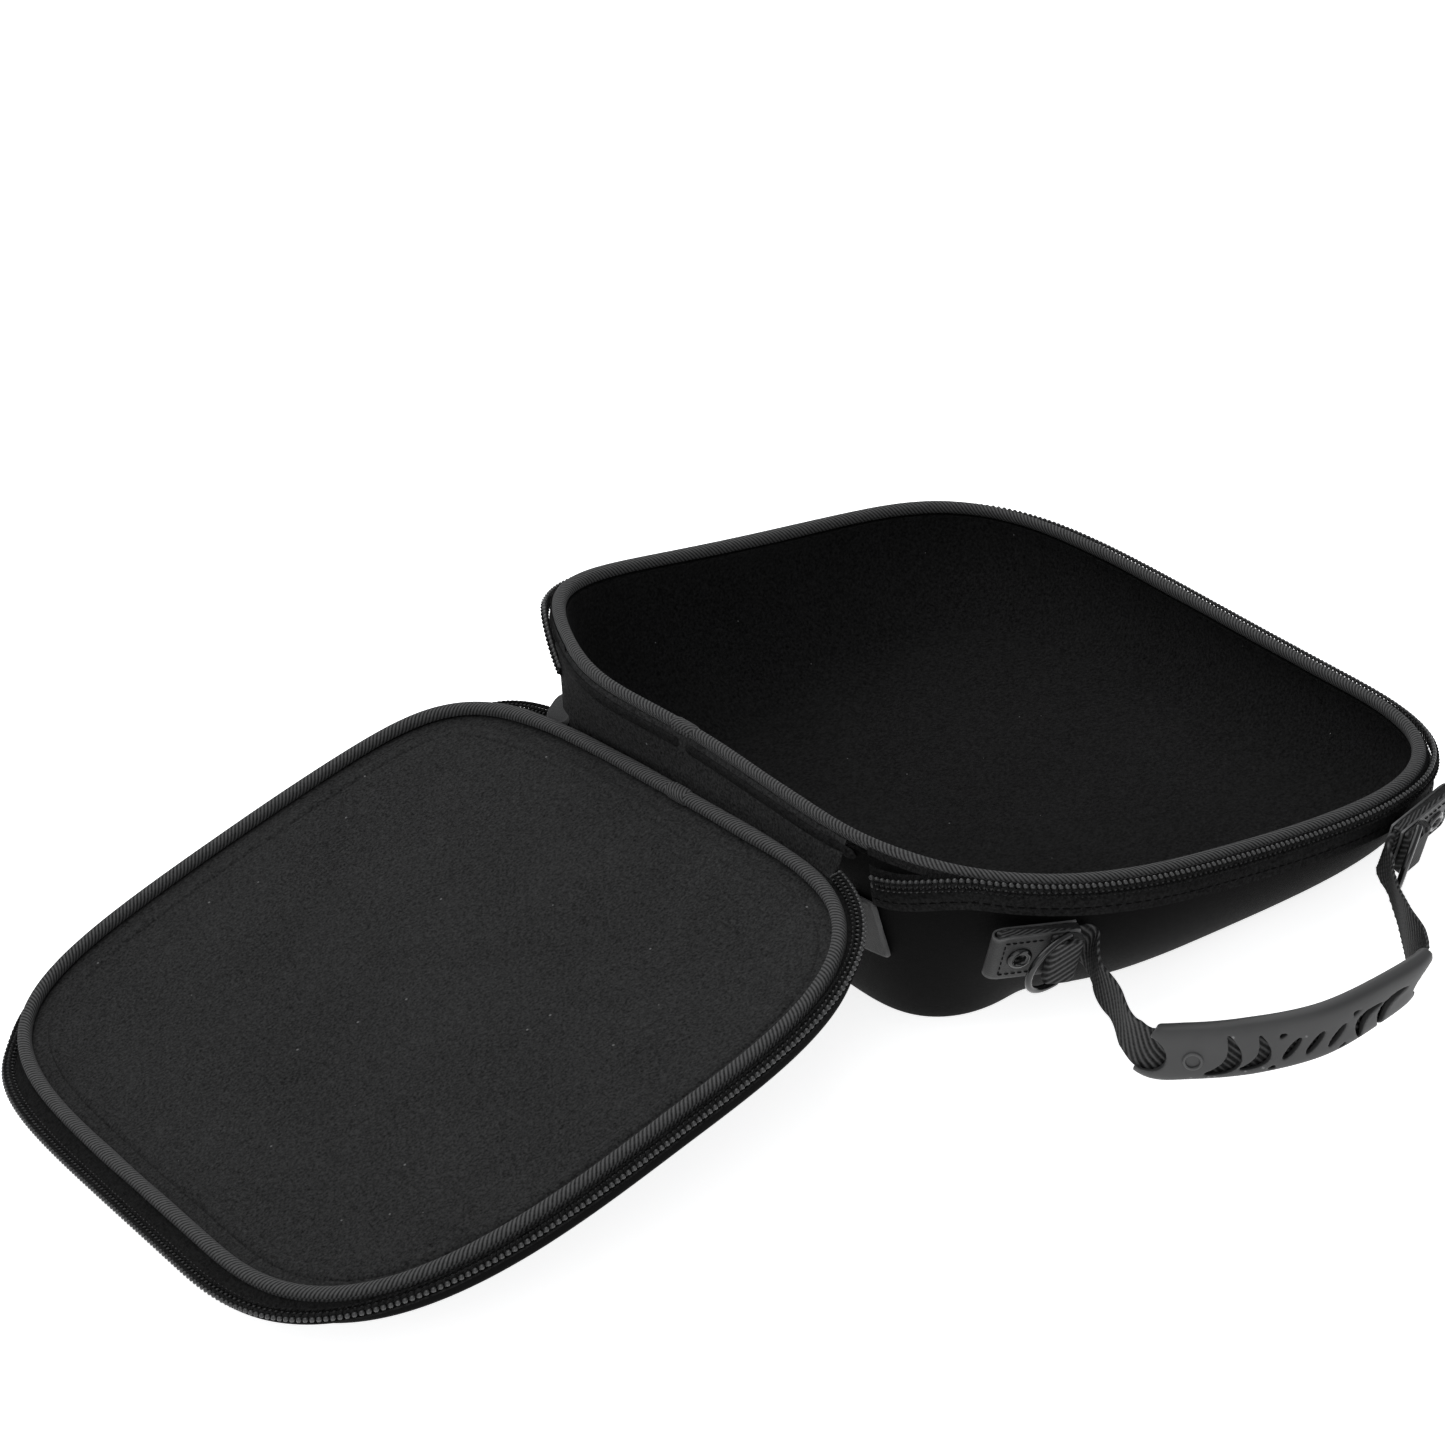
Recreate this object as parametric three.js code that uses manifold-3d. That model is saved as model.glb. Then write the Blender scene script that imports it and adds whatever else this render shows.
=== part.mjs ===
// A moulded carrying case lying open: a deep base tray, its lid folded out beside it, the cloth strip
// that hinges them, the two halves of the zipper, and a carrying handle on two rings.
// Millimetres, +Z up. The origin is the centre of the base's flat underside. +X runs from the
// hinge to the base's far side, -Y is the front, where the handle is, and the lid lies at -X.
import * as THREE from "three";
import { mergeVertices } from "three/addons/utils/BufferGeometryUtils.js";
import Module from "manifold-3d";

const wasm = await Module();
wasm.setup();

// Case, measured along the middle of the rim's binding
const CASE_WIDTH = 237; // hinge side to far side, in the rim's own plane
const CASE_LENGTH = 299; // front to back
const RIM_HEIGHT_HINGE = 84; // rim above the underside, middle of the hinge side
const RIM_HEIGHT_FAR = 33; // the same, middle of the far side
const RIM_RISE_TO_BACK = 14; // how much the back of the rim stands over the front
const RIM_DIP_ACROSS = 4.7; // how far the rim sags between its corners, front and back
const RIM_DIP_ALONG = 3.2; // the same, hinge side and far side
const WALL = 6; // padded foam wall with its cloth and lining
const FLOOR = 5; // padded floor of the base
const CLEARANCE = 0.3; // gap kept between touching pieces

// Outline: four superellipse quarters that meet at the widest places.
const WIDEST_ACROSS = 0.458; // share of the width where front and back bow out most
const WIDEST_ALONG = -0.165; // share of the length, from the middle, where the sides bow out most
const BASE_SQUARENESS = { backHinge: 5, backFar: 5.1, frontHinge: 2.8, frontFar: 3.6 };
const LID_SQUARENESS = { backHinge: 6.3, backFar: 5.3, frontHinge: 3.05, frontFar: 2.8 };
const HINGE_BULGE = { out: 8, at: 0.22, spread: 0.13 }; // base's hinge side, shares of the length
const BULGE_DEPTH = 18; // the rim alone bulges: this far below it the wall runs straight again

// Base body below the rim
const SET_IN = 8; // how far the underside is set in where the wall has no height
const DRAFT = { hinge: 0.06, far: 0.5, front: 0.6, back: 0.34 }; // more, as a share of the height
const CORNER_DRAFT = 0.16; // more still at the corner between front and hinge
const WALL_FULLNESS = 1.5; // how late the wall turns under, 1 is a plain quarter ellipse

// Lid
const LID_BAND = 12.5; // flat seam band inside the binding
const LID_STEP = 7; // width of the soft step down to the field
const LID_RECESS = 8; // depth of the field below the band
const LID_WALL = 8; // padded panel
const LID_DOME = 4; // how far the panel's outside swells below its edge
const LID_HUB = 40; // width of the lid's faces between the soft step and their middle
const LID_EDGE_ROUND = { out: 2, up: 1.5 }; // bevel along the panel's outside edge
const LID_UNDER_STEP = { past: 1, recess: 0.18, dome: 0.4 }; // the outside where the step ends
const LID_STEP_BENDS = [ // bends of the soft step: shares of its width and of the recess
  { in: 0.35, down: 0.25 },
  { in: 0.75, down: 0.85 },
];
const LID_SLOPE = 10.8; // degrees that the open lid falls away from the hinge
const LID_ROLL = -3.4; // degrees that it rolls towards the back
const LID_HINGE_GAP = 12.3; // level distance between the two bindings at the hinge
const LID_SHIFT = 10; // how far the open lid sits towards the back

// Rim dress
const BINDING_RADIUS = 2.6;
const COIL_WIDTH = 5; // zipper coil, across the tape
const COIL_THICK = 3;
const BASE_COIL_OUT = 5.3; // coil's centre outside the binding's centre, on the base
const BASE_COIL_DROP = 0.9; // and below it
const ZIPPER_END_DROP = 11; // the base's zipper falls away from the rim by this at its ends
const ZIPPER_END_REACH = 42; // length of that fall
const TAPE_TUCK = 2.5; // and it tucks down by this along the back
const LID_COIL_OUT = 6.8; // the same on the lid
const LID_COIL_DROP = 0.9;
const LID_TAPE_BOW = 3.6; // further out at the lid's far side, where the tape hangs loose
const LID_TAPE_TUCK = 3; // further down at the lid's back, where the binding covers the coil
const TUCK_DRAWS_IN = 0.25; // how far the tucked tape draws in, as a share of the tuck
const TAPE_UNDER_COIL = 1; // how far the lid's tape reaches past the middle of its coil
const TAPE_THICK = 1.1;
const TAPE_WIDTH = 8;
const HINGE_FRONT = -0.3; // ends of the hinge strip, shares of the length from the middle
const HINGE_BACK = 0.305;
const STRIP_THICK = 1.4;
const STRIP_LAP = 4; // how far the strip is sewn down the edge of the lid
const END_SPACE = 1; // gap along the rim between the strip's ends and the tabs
const TAB_WIDTH = 14; // leatherette tab on the wall, under each end of the zipper
const TAB_THICK = 2;
const TAB_TOP = 20; // its upper edge below the rim
const TAB_HEIGHT = 25;

// Handle anchors on the base's front wall
const ANCHOR_LENGTH = 31;
const ANCHOR_HEIGHT = 20;
const ANCHOR_THICK = 5;
const ANCHOR_ROUND = { free: 7, ring: 2 }; // corner rounds, at the free end and at the ring's end
const ANCHORS = [
  { side: "left", across: 0.135, below: 20.5, droop: -18, lean: 0, swing: 14, off: 3.5, ringTo: -1 },
  { side: "right", across: 0.805, below: 5, droop: 6, lean: 13, swing: -6, off: 6, ringTo: 1 },
];
const RIVET = { outer: 4.5, inner: 2.2, height: 1.2, bevel: 0.4, at: 0.16 }; // at: share of the length
const LOOP_LENGTH = 11; // webbing loop that holds the ring's bar
const LOOP_THICK = 5;
const LOOP_ROUND = 2;
const BAR_SLACK = 0.4; // between the ring's bar and its loop
const RING_WIRE = 1.3; // radius of the ring's wire
const RING_REACH = 16; // from the bar to the top of its bow
const RING_LIFT = 24; // degrees that the ring stands off its patch
const RING_FULLNESS = 0.8; // 1 is a plain half ellipse, less is squarer

// Handle: webbing that runs from patch to patch through a moulded grip
const STRAP_WIDTH = 19;
const STRAP_THICK = 1.6;
const STRAP_LEAD = { along: 5, out: 0.5 }; // straight stretch where the strap leaves its patch
const GRIP_LENGTH = 105;
const GRIP_HEIGHT = 21.5;
const GRIP_THICK = 8;
const GRIP_TAPER = 0.09; // rounded ends, as a share of its length
const GRIP_END = { thick: 0.86, high: 0.96 }; // size of its ends, as shares of the full section
const GRIP_SQUARE = { edge: 0.55, face: 0.7 }; // powers of the section, 1 is a plain ellipse
const GRIP_FROM = 46; // along the handle, from the left patch to the grip
const HANDLE_REACH = 61; // how far the grip lies in front of the case
// Middle line of the handle: across in shares of the case's width, out in shares of the reach in
// front of it, up in shares of the grip's height, and the degrees that its face leans outward.
const HANDLE_ROUTE = [
  { across: -0.302, out: 0.08, up: 1.58, lean: 0 },
  { across: -0.305, out: 0.215, up: 1.31, lean: 0 },
  { across: -0.309, out: 0.35, up: 0.96, lean: 0 },
  { across: -0.299, out: 0.46, up: 0.74, lean: 0 },
  { across: -0.256, out: 0.6, up: 0.66, lean: 0 },
  { across: -0.188, out: 0.8, up: 0.65, lean: 0 },
  { across: -0.096, out: 0.97, up: 0.66, lean: 8 },
  { across: 0.01, out: 1, up: 0.68, lean: 18 },
  { across: 0.089, out: 0.95, up: 0.66, lean: 26 },
  { across: 0.13, out: 0.79, up: 0.6, lean: 20 },
  { across: 0.159, out: 0.59, up: 0.61, lean: 8 },
  { across: 0.187, out: 0.4, up: 0.68, lean: 0 },
  { across: 0.21, out: 0.24, up: 0.86, lean: 0 },
];
// Openings in the grip's outer face, from its middle to its left end; the right half repeats them
// turned half round. Middle and size are shares of the grip's height, the slant is in degrees.
const GRIP_WINDOWS = [
  { kind: "oval", at: 0, up: 0, long: 0.48, wide: 0.13, slant: 50 },
  { kind: "oval", at: -0.36, up: 0, long: 0.48, wide: 0.13, slant: 50 },
  { kind: "crescent", at: -0.92, up: 0, long: 0.62, wide: 0.25, slant: 58 },
  { kind: "crescent", at: -1.4, up: 0, long: 0.72, wide: 0.29, slant: 58 },
  { kind: "notch", at: -0.44, up: 0.27, long: 0.17, wide: 0.1, slant: 0 },
  { kind: "notch", at: -0.72, up: -0.29, long: 0.17, wide: 0.1, slant: 180 },
];
const WINDOWS_SHIFT = { along: 3.8, up: -1.6 }; // the openings' middle, from the grip's
const CRESCENT_BEND = 2.2; // how far a crescent's tips turn up, in half widths
const MOUTH = { deep: 0.34, high: 0.7 }; // the strap shows in a round notch at each end of the grip

// Mesh fineness
const RIM_POINTS = 64; // points round the rim
const ROUND_SIDES = 6; // sides of a binding or coil
const HANDLE_STEP = 3.5; // spacing of the handle's cross sections
const GRIP_SIDES = 14;
const RIVET_SIDES = 14;

// Materials
const cloth = (name, color, roughness) =>
  Object.assign(new THREE.MeshStandardMaterial({ color, roughness, metalness: 0 }), { name });
const SHELL = cloth("shell_cloth", 0x141414, 0.9);
const LINING = cloth("lining_cloth", 0x262626, 0.95);
const BINDING = cloth("binding_cloth", 0x363636, 0.8);
const TAPE = cloth("zipper_tape", 0x1b1b1b, 0.9);
const COIL = cloth("zipper_coil", 0x2a2a2a, 0.45);
const LEATHER = cloth("leatherette", 0x2e2e2e, 0.55);
const WEBBING = cloth("webbing", 0x1d1d1d, 0.85);
const RUBBER = cloth("grip_rubber", 0x424244, 0.65);
const METAL = new THREE.MeshStandardMaterial({ color: 0x17171a, roughness: 0.25, metalness: 0.9 });

const part = new THREE.Group();

function addMesh(name, geometry, material, parent = part) {
  const mesh = new THREE.Mesh(geometry, material);
  mesh.name = name;
  parent.add(mesh);
  return mesh;
}

const vec = (x, y, z) => new THREE.Vector3(x, y, z);
const lerp = THREE.MathUtils.lerp;
const rad = THREE.MathUtils.degToRad;

// A closed surface from rows of points. Each row is a ring. Rows join one after another, the last
// also to the first when closed, or else each end is closed by a fan from its middle.
function skin(rows, closed = false) {
  const width = rows[0].length;
  const points = rows.flat();
  const faces = [];
  const last = closed ? rows.length : rows.length - 1;
  for (let r = 0; r < last; r++) {
    const low = r * width;
    const high = ((r + 1) % rows.length) * width;
    for (let i = 0; i < width; i++) {
      const j = (i + 1) % width;
      faces.push(low + i, low + j, high + j, low + i, high + j, high + i);
    }
  }
  if (!closed) {
    const end = (start, flip) => {
      const middle = vec(0, 0, 0);
      for (let i = 0; i < width; i++) middle.addScaledVector(points[start + i], 1 / width);
      points.push(middle);
      const hub = points.length - 1;
      for (let i = 0; i < width; i++) {
        const j = (i + 1) % width;
        faces.push(hub, start + (flip ? j : i), start + (flip ? i : j));
      }
    };
    end(0, true);
    end((rows.length - 1) * width, false);
  }
  return facingOut(points, faces);
}

// Turns the faces round where the surface encloses a negative volume.
function facingOut(points, faces) {
  let volume = 0;
  for (let i = 0; i < faces.length; i += 3) {
    const [a, b, c] = [points[faces[i]], points[faces[i + 1]], points[faces[i + 2]]];
    volume += a.dot(b.clone().cross(c));
  }
  if (volume < 0) faces.reverse();
  const geometry = new THREE.BufferGeometry().setFromPoints(points);
  geometry.setIndex(faces);
  geometry.computeVertexNormals();
  return geometry;
}

// The rim's outline in its own plane: u from the hinge side, v from the middle of the length.
// It comes back as evenly spaced points with the outward normal at each.
function outlinePoint(angle, squareness) {
  const c = Math.cos(angle);
  const s = Math.sin(angle);
  const widestU = WIDEST_ACROSS * CASE_WIDTH;
  const widestV = WIDEST_ALONG * CASE_LENGTH;
  const reachU = c > 0 ? CASE_WIDTH - widestU : widestU;
  const reachV = s > 0 ? CASE_LENGTH / 2 - widestV : CASE_LENGTH / 2 + widestV;
  const corner = (s > 0 ? "back" : "front") + (c > 0 ? "Far" : "Hinge");
  const power = 2 / squareness[corner];
  return {
    u: widestU + Math.sign(c) * reachU * Math.abs(c) ** power,
    v: widestV + Math.sign(s) * reachV * Math.abs(s) ** power,
  };
}

function outline(squareness, bulge, count) {
  const DENSE = 1440;
  const raw = [];
  for (let i = 0; i < DENSE; i++) {
    // Starts in the middle of the hinge side and runs by the front to the far side and the back.
    const point = outlinePoint(Math.PI + (i / DENSE) * 2 * Math.PI, squareness);
    if (point.u < (WIDEST_ACROSS * CASE_WIDTH) / 2) {
      const from = (point.v / CASE_LENGTH - bulge.at) / bulge.spread;
      point.bulge = bulge.out * Math.exp(-from * from);
      point.u -= point.bulge;
    }
    raw.push(point);
  }
  const along = [0];
  for (let i = 1; i <= DENSE; i++) {
    const a = raw[i - 1];
    const b = raw[i % DENSE];
    along.push(along[i - 1] + Math.hypot(b.u - a.u, b.v - a.v));
  }
  const at = (share) => {
    const want = (((share % 1) + 1) % 1) * along[DENSE];
    let i = 1;
    while (along[i] < want) i++;
    const t = (want - along[i - 1]) / (along[i] - along[i - 1] || 1);
    const a = raw[i - 1];
    const b = raw[i % DENSE];
    const out = lerp(a.bulge ?? 0, b.bulge ?? 0, t);
    return { u: lerp(a.u, b.u, t), v: lerp(a.v, b.v, t), bulge: out };
  };
  const points = [];
  for (let i = 0; i < count; i++) {
    const here = at(i / count);
    const before = at((i - 0.5) / count);
    const after = at((i + 0.5) / count);
    const run = Math.hypot(after.u - before.u, after.v - before.v);
    here.nu = (after.v - before.v) / run;
    here.nv = -(after.u - before.u) / run;
    points.push(here);
  }
  return points;
}

const BASE_OUTLINE = outline(BASE_SQUARENESS, HINGE_BULGE, RIM_POINTS);
const LID_OUTLINE = outline(LID_SQUARENESS, { ...HINGE_BULGE, out: 0 }, RIM_POINTS);

// How far the rim stands above its plane through the corners; the sides sag between them.
function rimDip(u, v) {
  const across = (u - CASE_WIDTH / 2) / (CASE_WIDTH / 2);
  const along = v / (CASE_LENGTH / 2);
  return -RIM_DIP_ACROSS * (1 - across * across) - RIM_DIP_ALONG * (1 - along * along);
}

// A point of the base, out from the binding's middle line and up from it. The rim's plane falls
// towards the far side.
const RIM_TILT = Math.asin((RIM_HEIGHT_HINGE - RIM_HEIGHT_FAR) / CASE_WIDTH);
function basePoint(p, out, up) {
  const u = p.u + p.nu * out;
  const v = p.v + p.nv * out;
  const x = (u - CASE_WIDTH / 2) * Math.cos(RIM_TILT);
  const level = lerp(RIM_HEIGHT_HINGE, RIM_HEIGHT_FAR, u / CASE_WIDTH);
  const rim = level + RIM_DIP_ALONG + (RIM_RISE_TO_BACK * v) / CASE_LENGTH + rimDip(p.u, p.v);
  return vec(x, v, rim + up);
}

// A point of the lid in the lid's own frame, whose origin is the middle of its hinge side.
function lidPoint(p, out, up) {
  return vec(-(p.u + p.nu * out), p.v + p.nv * out, up - rimDip(p.u, p.v));
}

const LIP_TOP = -(BINDING_RADIUS + CLEARANCE); // the wall's top, under the binding
const LIP_OUT = WALL / 2 + CLEARANCE; // the wall's outer face at the rim
const LIP_IN = LIP_OUT - WALL;

// How far the wall is drawn in by its underside, for the way that this stretch of rim faces.
function drawnIn(p, height) {
  const across = p.nu > 0 ? DRAFT.far : DRAFT.hinge;
  const along = p.nv > 0 ? DRAFT.back : DRAFT.front;
  const corner = p.nu < 0 && p.nv < 0 ? CORNER_DRAFT * (2 * p.nu * p.nv) ** 2 : 0;
  return SET_IN + height * (across * p.nu * p.nu + along * p.nv * p.nv + corner);
}

// A point of the base's wall. turn runs from 0 at the rim to 1 at the underside.
function wallPoint(p, out, bottom, turn) {
  const a = (turn * Math.PI) / 2;
  const top = basePoint(p, out, LIP_TOP);
  const height = top.z - bottom;
  const drop = height * Math.sin(a);
  const inset = drawnIn(p, height) * (1 - Math.cos(a) ** WALL_FULLNESS);
  const back = p.bulge * THREE.MathUtils.smoothstep(drop, 0, BULGE_DEPTH);
  const point = basePoint(p, out - inset - back, 0);
  point.z = top.z - drop;
  return point;
}

const wallRing = (out, bottom, turn) =>
  BASE_OUTLINE.map((p) => wallPoint(p, out, bottom, turn));

function baseShell() {
  const outer = [1, 0.84, 0.67, 0.5, 0.33, 0.16, 0].map((turn) => wallRing(LIP_OUT, 0, turn));
  const inner = [0, 0.2, 0.4, 0.6, 0.8, 1].map((turn) => wallRing(LIP_IN, FLOOR, turn));
  return skin([...outer, ...inner]);
}

// Lid section from the middle of its outside, round the rim, to the middle of its lining.
function lidShell() {
  const back = LIP_TOP - LID_WALL;
  const step = LIP_IN - LID_BAND;
  const under = LID_UNDER_STEP;
  const section = [
    [step - LID_STEP - LID_HUB, back - LID_RECESS - LID_DOME],
    [step - LID_STEP, back - LID_RECESS - LID_DOME * under.dome],
    [step + under.past, back - LID_RECESS * under.recess],
    [LIP_OUT - LID_EDGE_ROUND.out, back],
    [LIP_OUT, back + LID_EDGE_ROUND.up],
    [LIP_OUT, LIP_TOP],
    [LIP_IN, LIP_TOP],
    [step, LIP_TOP],
    ...LID_STEP_BENDS.map((bend) => [step - LID_STEP * bend.in, LIP_TOP - LID_RECESS * bend.down]),
    [step - LID_STEP, LIP_TOP - LID_RECESS],
  ];
  return skin(section.map(([out, up]) => LID_OUTLINE.map((p) => lidPoint(p, out, up))));
}

// Sweeps a closed section of [out, up] pairs along a stretch of rim.
function rimSweep(points, place, section, closed) {
  const rows = points.map((p) => section.map(([out, up]) => place(p, out, up)));
  return skin(rows, closed);
}

const boxSection = (out0, out1, up0, up1) => [
  [out0, up0],
  [out1, up0],
  [out1, up1],
  [out0, up1],
];

// The stretch that carries the zipper: all the rim but the hinge strip's part.
function zipperStretch(points) {
  const onHinge = (p) =>
    p.u < WIDEST_ACROSS * CASE_WIDTH * 0.5 &&
    p.v > HINGE_FRONT * CASE_LENGTH &&
    p.v < HINGE_BACK * CASE_LENGTH;
  const before = (i) => points[(i + points.length - 1) % points.length];
  const start = points.findIndex((p, i) => !onHinge(p) && onHinge(before(i)));
  const turned = [...points.slice(start), ...points.slice(0, start)];
  return turned.filter((p) => !onHinge(p));
}

const BASE_ZIPPER = zipperStretch(BASE_OUTLINE).map((p) => ({ ...p }));
const [RIM_A, RIM_B] = BASE_OUTLINE;
const RIM_STEP = Math.hypot(RIM_A.u - RIM_B.u, RIM_A.v - RIM_B.v);
const LID_ZIPPER = zipperStretch(LID_OUTLINE);

// The lid's tape hangs further out along its far side and tucks down along its back.
const tapeBow = (p) => LID_TAPE_BOW * Math.max(0, p.nu) ** 3;
const tapeTuck = (p) => LID_TAPE_TUCK * Math.max(0, p.nv) ** 2;

function ovalSection(width, height, sides = ROUND_SIDES) {
  return Array.from({ length: sides }, (_, i) => {
    const a = ((i + 0.5) / sides) * 2 * Math.PI;
    return [(width / 2) * Math.cos(a), (height / 2) * Math.sin(a)];
  });
}

const shifted = (section, out, up) => section.map(([o, u]) => [o + out, u + up]);
const binding = ovalSection(2 * BINDING_RADIUS, 2 * BINDING_RADIUS);

// The base's zipper falls away from the rim towards its ends and tucks down along the back.
BASE_ZIPPER.forEach((p, i) => {
  const reach = ZIPPER_END_REACH / RIM_STEP;
  const toEnd = Math.min(i, BASE_ZIPPER.length - 1 - i) / reach;
  const fall = ZIPPER_END_DROP * (1 - THREE.MathUtils.smoothstep(toEnd, 0, 1));
  p.fall = fall + TAPE_TUCK * Math.max(0, p.nv) ** 2;
});
const fallenPoint = (p, out, up) => basePoint(p, out, up - p.fall);

// Base
const TAPE_IN = LIP_OUT + CLEARANCE;
const BASE_TAPE_TOP = -BASE_COIL_DROP - COIL_WIDTH / 2 - CLEARANCE;
const baseTape = boxSection(
  TAPE_IN,
  TAPE_IN + TAPE_THICK,
  BASE_TAPE_TOP - TAPE_WIDTH,
  BASE_TAPE_TOP,
);
const baseCoil = shifted(ovalSection(COIL_THICK, COIL_WIDTH), BASE_COIL_OUT, -BASE_COIL_DROP);
addMesh("base_shell", baseShell(), SHELL);
addMesh("base_binding", rimSweep(BASE_OUTLINE, basePoint, binding, true), BINDING);
addMesh("base_zipper_tape", rimSweep(BASE_ZIPPER, fallenPoint, baseTape, false), TAPE);
addMesh("base_zipper_coil", rimSweep(BASE_ZIPPER, fallenPoint, baseCoil, false), COIL);

// Lid
const lid = new THREE.Group();
part.add(lid);
const LID_TAPE_TOP = -LID_COIL_DROP - COIL_THICK / 2 - CLEARANCE;
const lidCoil = shifted(ovalSection(COIL_WIDTH, COIL_THICK), LID_COIL_OUT, -LID_COIL_DROP);
const hangingPoint = (p, out, up) =>
  lidPoint(p, out > TAPE_IN ? out + tapeBow(p) - tapeTuck(p) * TUCK_DRAWS_IN : out, up - tapeTuck(p));
const lidTape = boxSection(TAPE_IN, LID_COIL_OUT + TAPE_UNDER_COIL, LID_TAPE_TOP - TAPE_THICK, LID_TAPE_TOP);
addMesh("lid_shell", lidShell(), LINING, lid);
addMesh("lid_binding", rimSweep(LID_OUTLINE, lidPoint, binding, true), BINDING, lid);
addMesh("lid_zipper_tape", rimSweep(LID_ZIPPER, hangingPoint, lidTape, false), TAPE, lid);
addMesh("lid_zipper_coil", rimSweep(LID_ZIPPER, hangingPoint, lidCoil, false), COIL, lid);
lid.rotation.set(rad(LID_ROLL), rad(-LID_SLOPE), 0);
const RIM_HALF = (CASE_WIDTH / 2) * Math.cos(RIM_TILT);
lid.position.set(-RIM_HALF - LID_HINGE_GAP, LID_SHIFT, 0);
lid.updateMatrixWorld(true);
lid.position.z = -new THREE.Box3().setFromObject(lid, true).min.z;
lid.updateMatrixWorld(true);

// A point of the rim's hinge side at a place along the length.
function between(points, v) {
  const side = points.filter((p) => p.u < (WIDEST_ACROSS * CASE_WIDTH) / 2);
  side.sort((a, b) => a.v - b.v);
  const i = Math.max(1, Math.min(side.length - 1, side.findIndex((p) => p.v > v)));
  const [a, b] = [side[i - 1], side[i]];
  const t = (v - a.v) / (b.v - a.v);
  const mix = (key) => lerp(a[key], b[key], t);
  return { u: mix("u"), v, nu: mix("nu"), nv: mix("nv"), bulge: mix("bulge") };
}

// Cloth that hangs from the seam under the base's binding to the edge of the open lid, between two
// places of the length. Its inner face is a line of points, and its thickness lies towards the lid.
function hingeFlap(from, to, thick, drop = CLEARANCE) {
  const SPAN = 5;
  const rows = [];
  const rim = BASE_OUTLINE.filter((p) => p.u < (WIDEST_ACROSS * CASE_WIDTH) / 2).map((p) => p.v);
  const inside = rim.filter((v) => v > from + END_SPACE && v < to - END_SPACE).sort((a, b) => a - b);
  for (const v of [from, ...inside, to]) {
    const seam = basePoint(between(BASE_OUTLINE, v), TAPE_IN, LIP_TOP - drop);
    const l = between(LID_OUTLINE, v - LID_SHIFT);
    const onLid = (up) => lid.localToWorld(lidPoint(l, TAPE_IN + thick + CLEARANCE, up));
    const edge = onLid(LIP_TOP - CLEARANCE);
    const line = [];
    for (let k = 0; k <= SPAN; k++) line.push(seam.clone().lerp(edge, k / SPAN));
    line.push(onLid(LIP_TOP - STRIP_LAP));
    const outer = line.map((point) => vec(point.x - thick, point.y, point.z));
    rows.push([...line, ...outer.reverse()]);
  }
  return skin(rows);
}

// A patch that lies on the base's wall under one end of the zipper.
function hingeTab(from, to) {
  const DROPS = 4;
  const rows = [];
  for (const v of [from, (from + to) / 2, to]) {
    const p = between(BASE_OUTLINE, v);
    const top = basePoint(p, TAPE_IN, LIP_TOP).z;
    const turnAt = (drop) => (Math.asin(drop / top) * 2) / Math.PI;
    const down = (out) =>
      Array.from({ length: DROPS }, (_, k) => {
        const drop = TAB_TOP + (TAB_HEIGHT * k) / (DROPS - 1);
        return wallPoint(p, out, 0, turnAt(drop));
      });
    rows.push([...down(TAPE_IN + CLEARANCE), ...down(TAPE_IN + CLEARANCE + TAB_THICK).reverse()]);
  }
  return skin(rows);
}

const [STRIP_FROM, STRIP_TO] = [HINGE_FRONT * CASE_LENGTH, HINGE_BACK * CASE_LENGTH];
const stripEnds = [STRIP_FROM + LID_SHIFT + END_SPACE, STRIP_TO - END_SPACE];
const backTab = [STRIP_TO, STRIP_TO + LID_SHIFT - END_SPACE];
const frontTab = [STRIP_FROM - END_SPACE, STRIP_FROM - END_SPACE + TAB_WIDTH];
const BACK_TAB_DROP = TAPE_WIDTH + COIL_WIDTH + ZIPPER_END_DROP;
addMesh("hinge_strip", hingeFlap(...stripEnds, STRIP_THICK), TAPE);
addMesh("hinge_tab_front", hingeTab(...frontTab), LEATHER);
addMesh("hinge_tab_back", hingeFlap(...backTab, TAB_THICK, BACK_TAB_DROP), LEATHER);

// Place on the base's front wall: across from the hinge side, below the rim, off the wall.
function frontPlace({ across, below, off }) {
  const FACING_FRONT = -0.2;
  const front = BASE_OUTLINE.filter((p) => p.nv < FACING_FRONT).sort((a, b) => a.u - b.u);
  const u = across * CASE_WIDTH;
  const i = front.findIndex((p) => p.u > u);
  const [a, b] = [front[i - 1], front[i]];
  const t = (u - a.u) / (b.u - a.u);
  const mix = (key) => lerp(a[key], b[key], t);
  const p = { u, v: mix("v"), nu: mix("nu"), nv: mix("nv"), bulge: 0 };
  const turnAt = (drop) => (Math.asin(drop / basePoint(p, LIP_OUT, LIP_TOP).z) * 2) / Math.PI;
  const at = (drop) => wallPoint(p, LIP_OUT, 0, turnAt(drop));
  const STEP = ANCHOR_HEIGHT / 2;
  const up = at(below - STEP).sub(at(below + STEP)).normalize();
  const along = vec(-p.nv, p.nu, 0).normalize();
  const out = along.clone().cross(up).normalize();
  up.copy(out).cross(along).normalize();
  return { origin: at(below).addScaledVector(out, off), along, up, out };
}

// A closed tube of wire through points, with its section held to one flat plane.
function wireRing(points, radius, flat, sides = ROUND_SIDES) {
  const n = points.length;
  const rows = points.map((point, i) => {
    const run = points[(i + 1) % n].clone().sub(points[(i + n - 1) % n]).normalize();
    const side = run.cross(flat).normalize();
    return Array.from({ length: sides }, (_, k) => {
      const a = ((k + 0.5) / sides) * 2 * Math.PI;
      const offset = side.clone().multiplyScalar(radius * Math.cos(a));
      return point.clone().add(offset).addScaledVector(flat, radius * Math.sin(a));
    });
  });
  return skin(rows, true);
}

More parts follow.
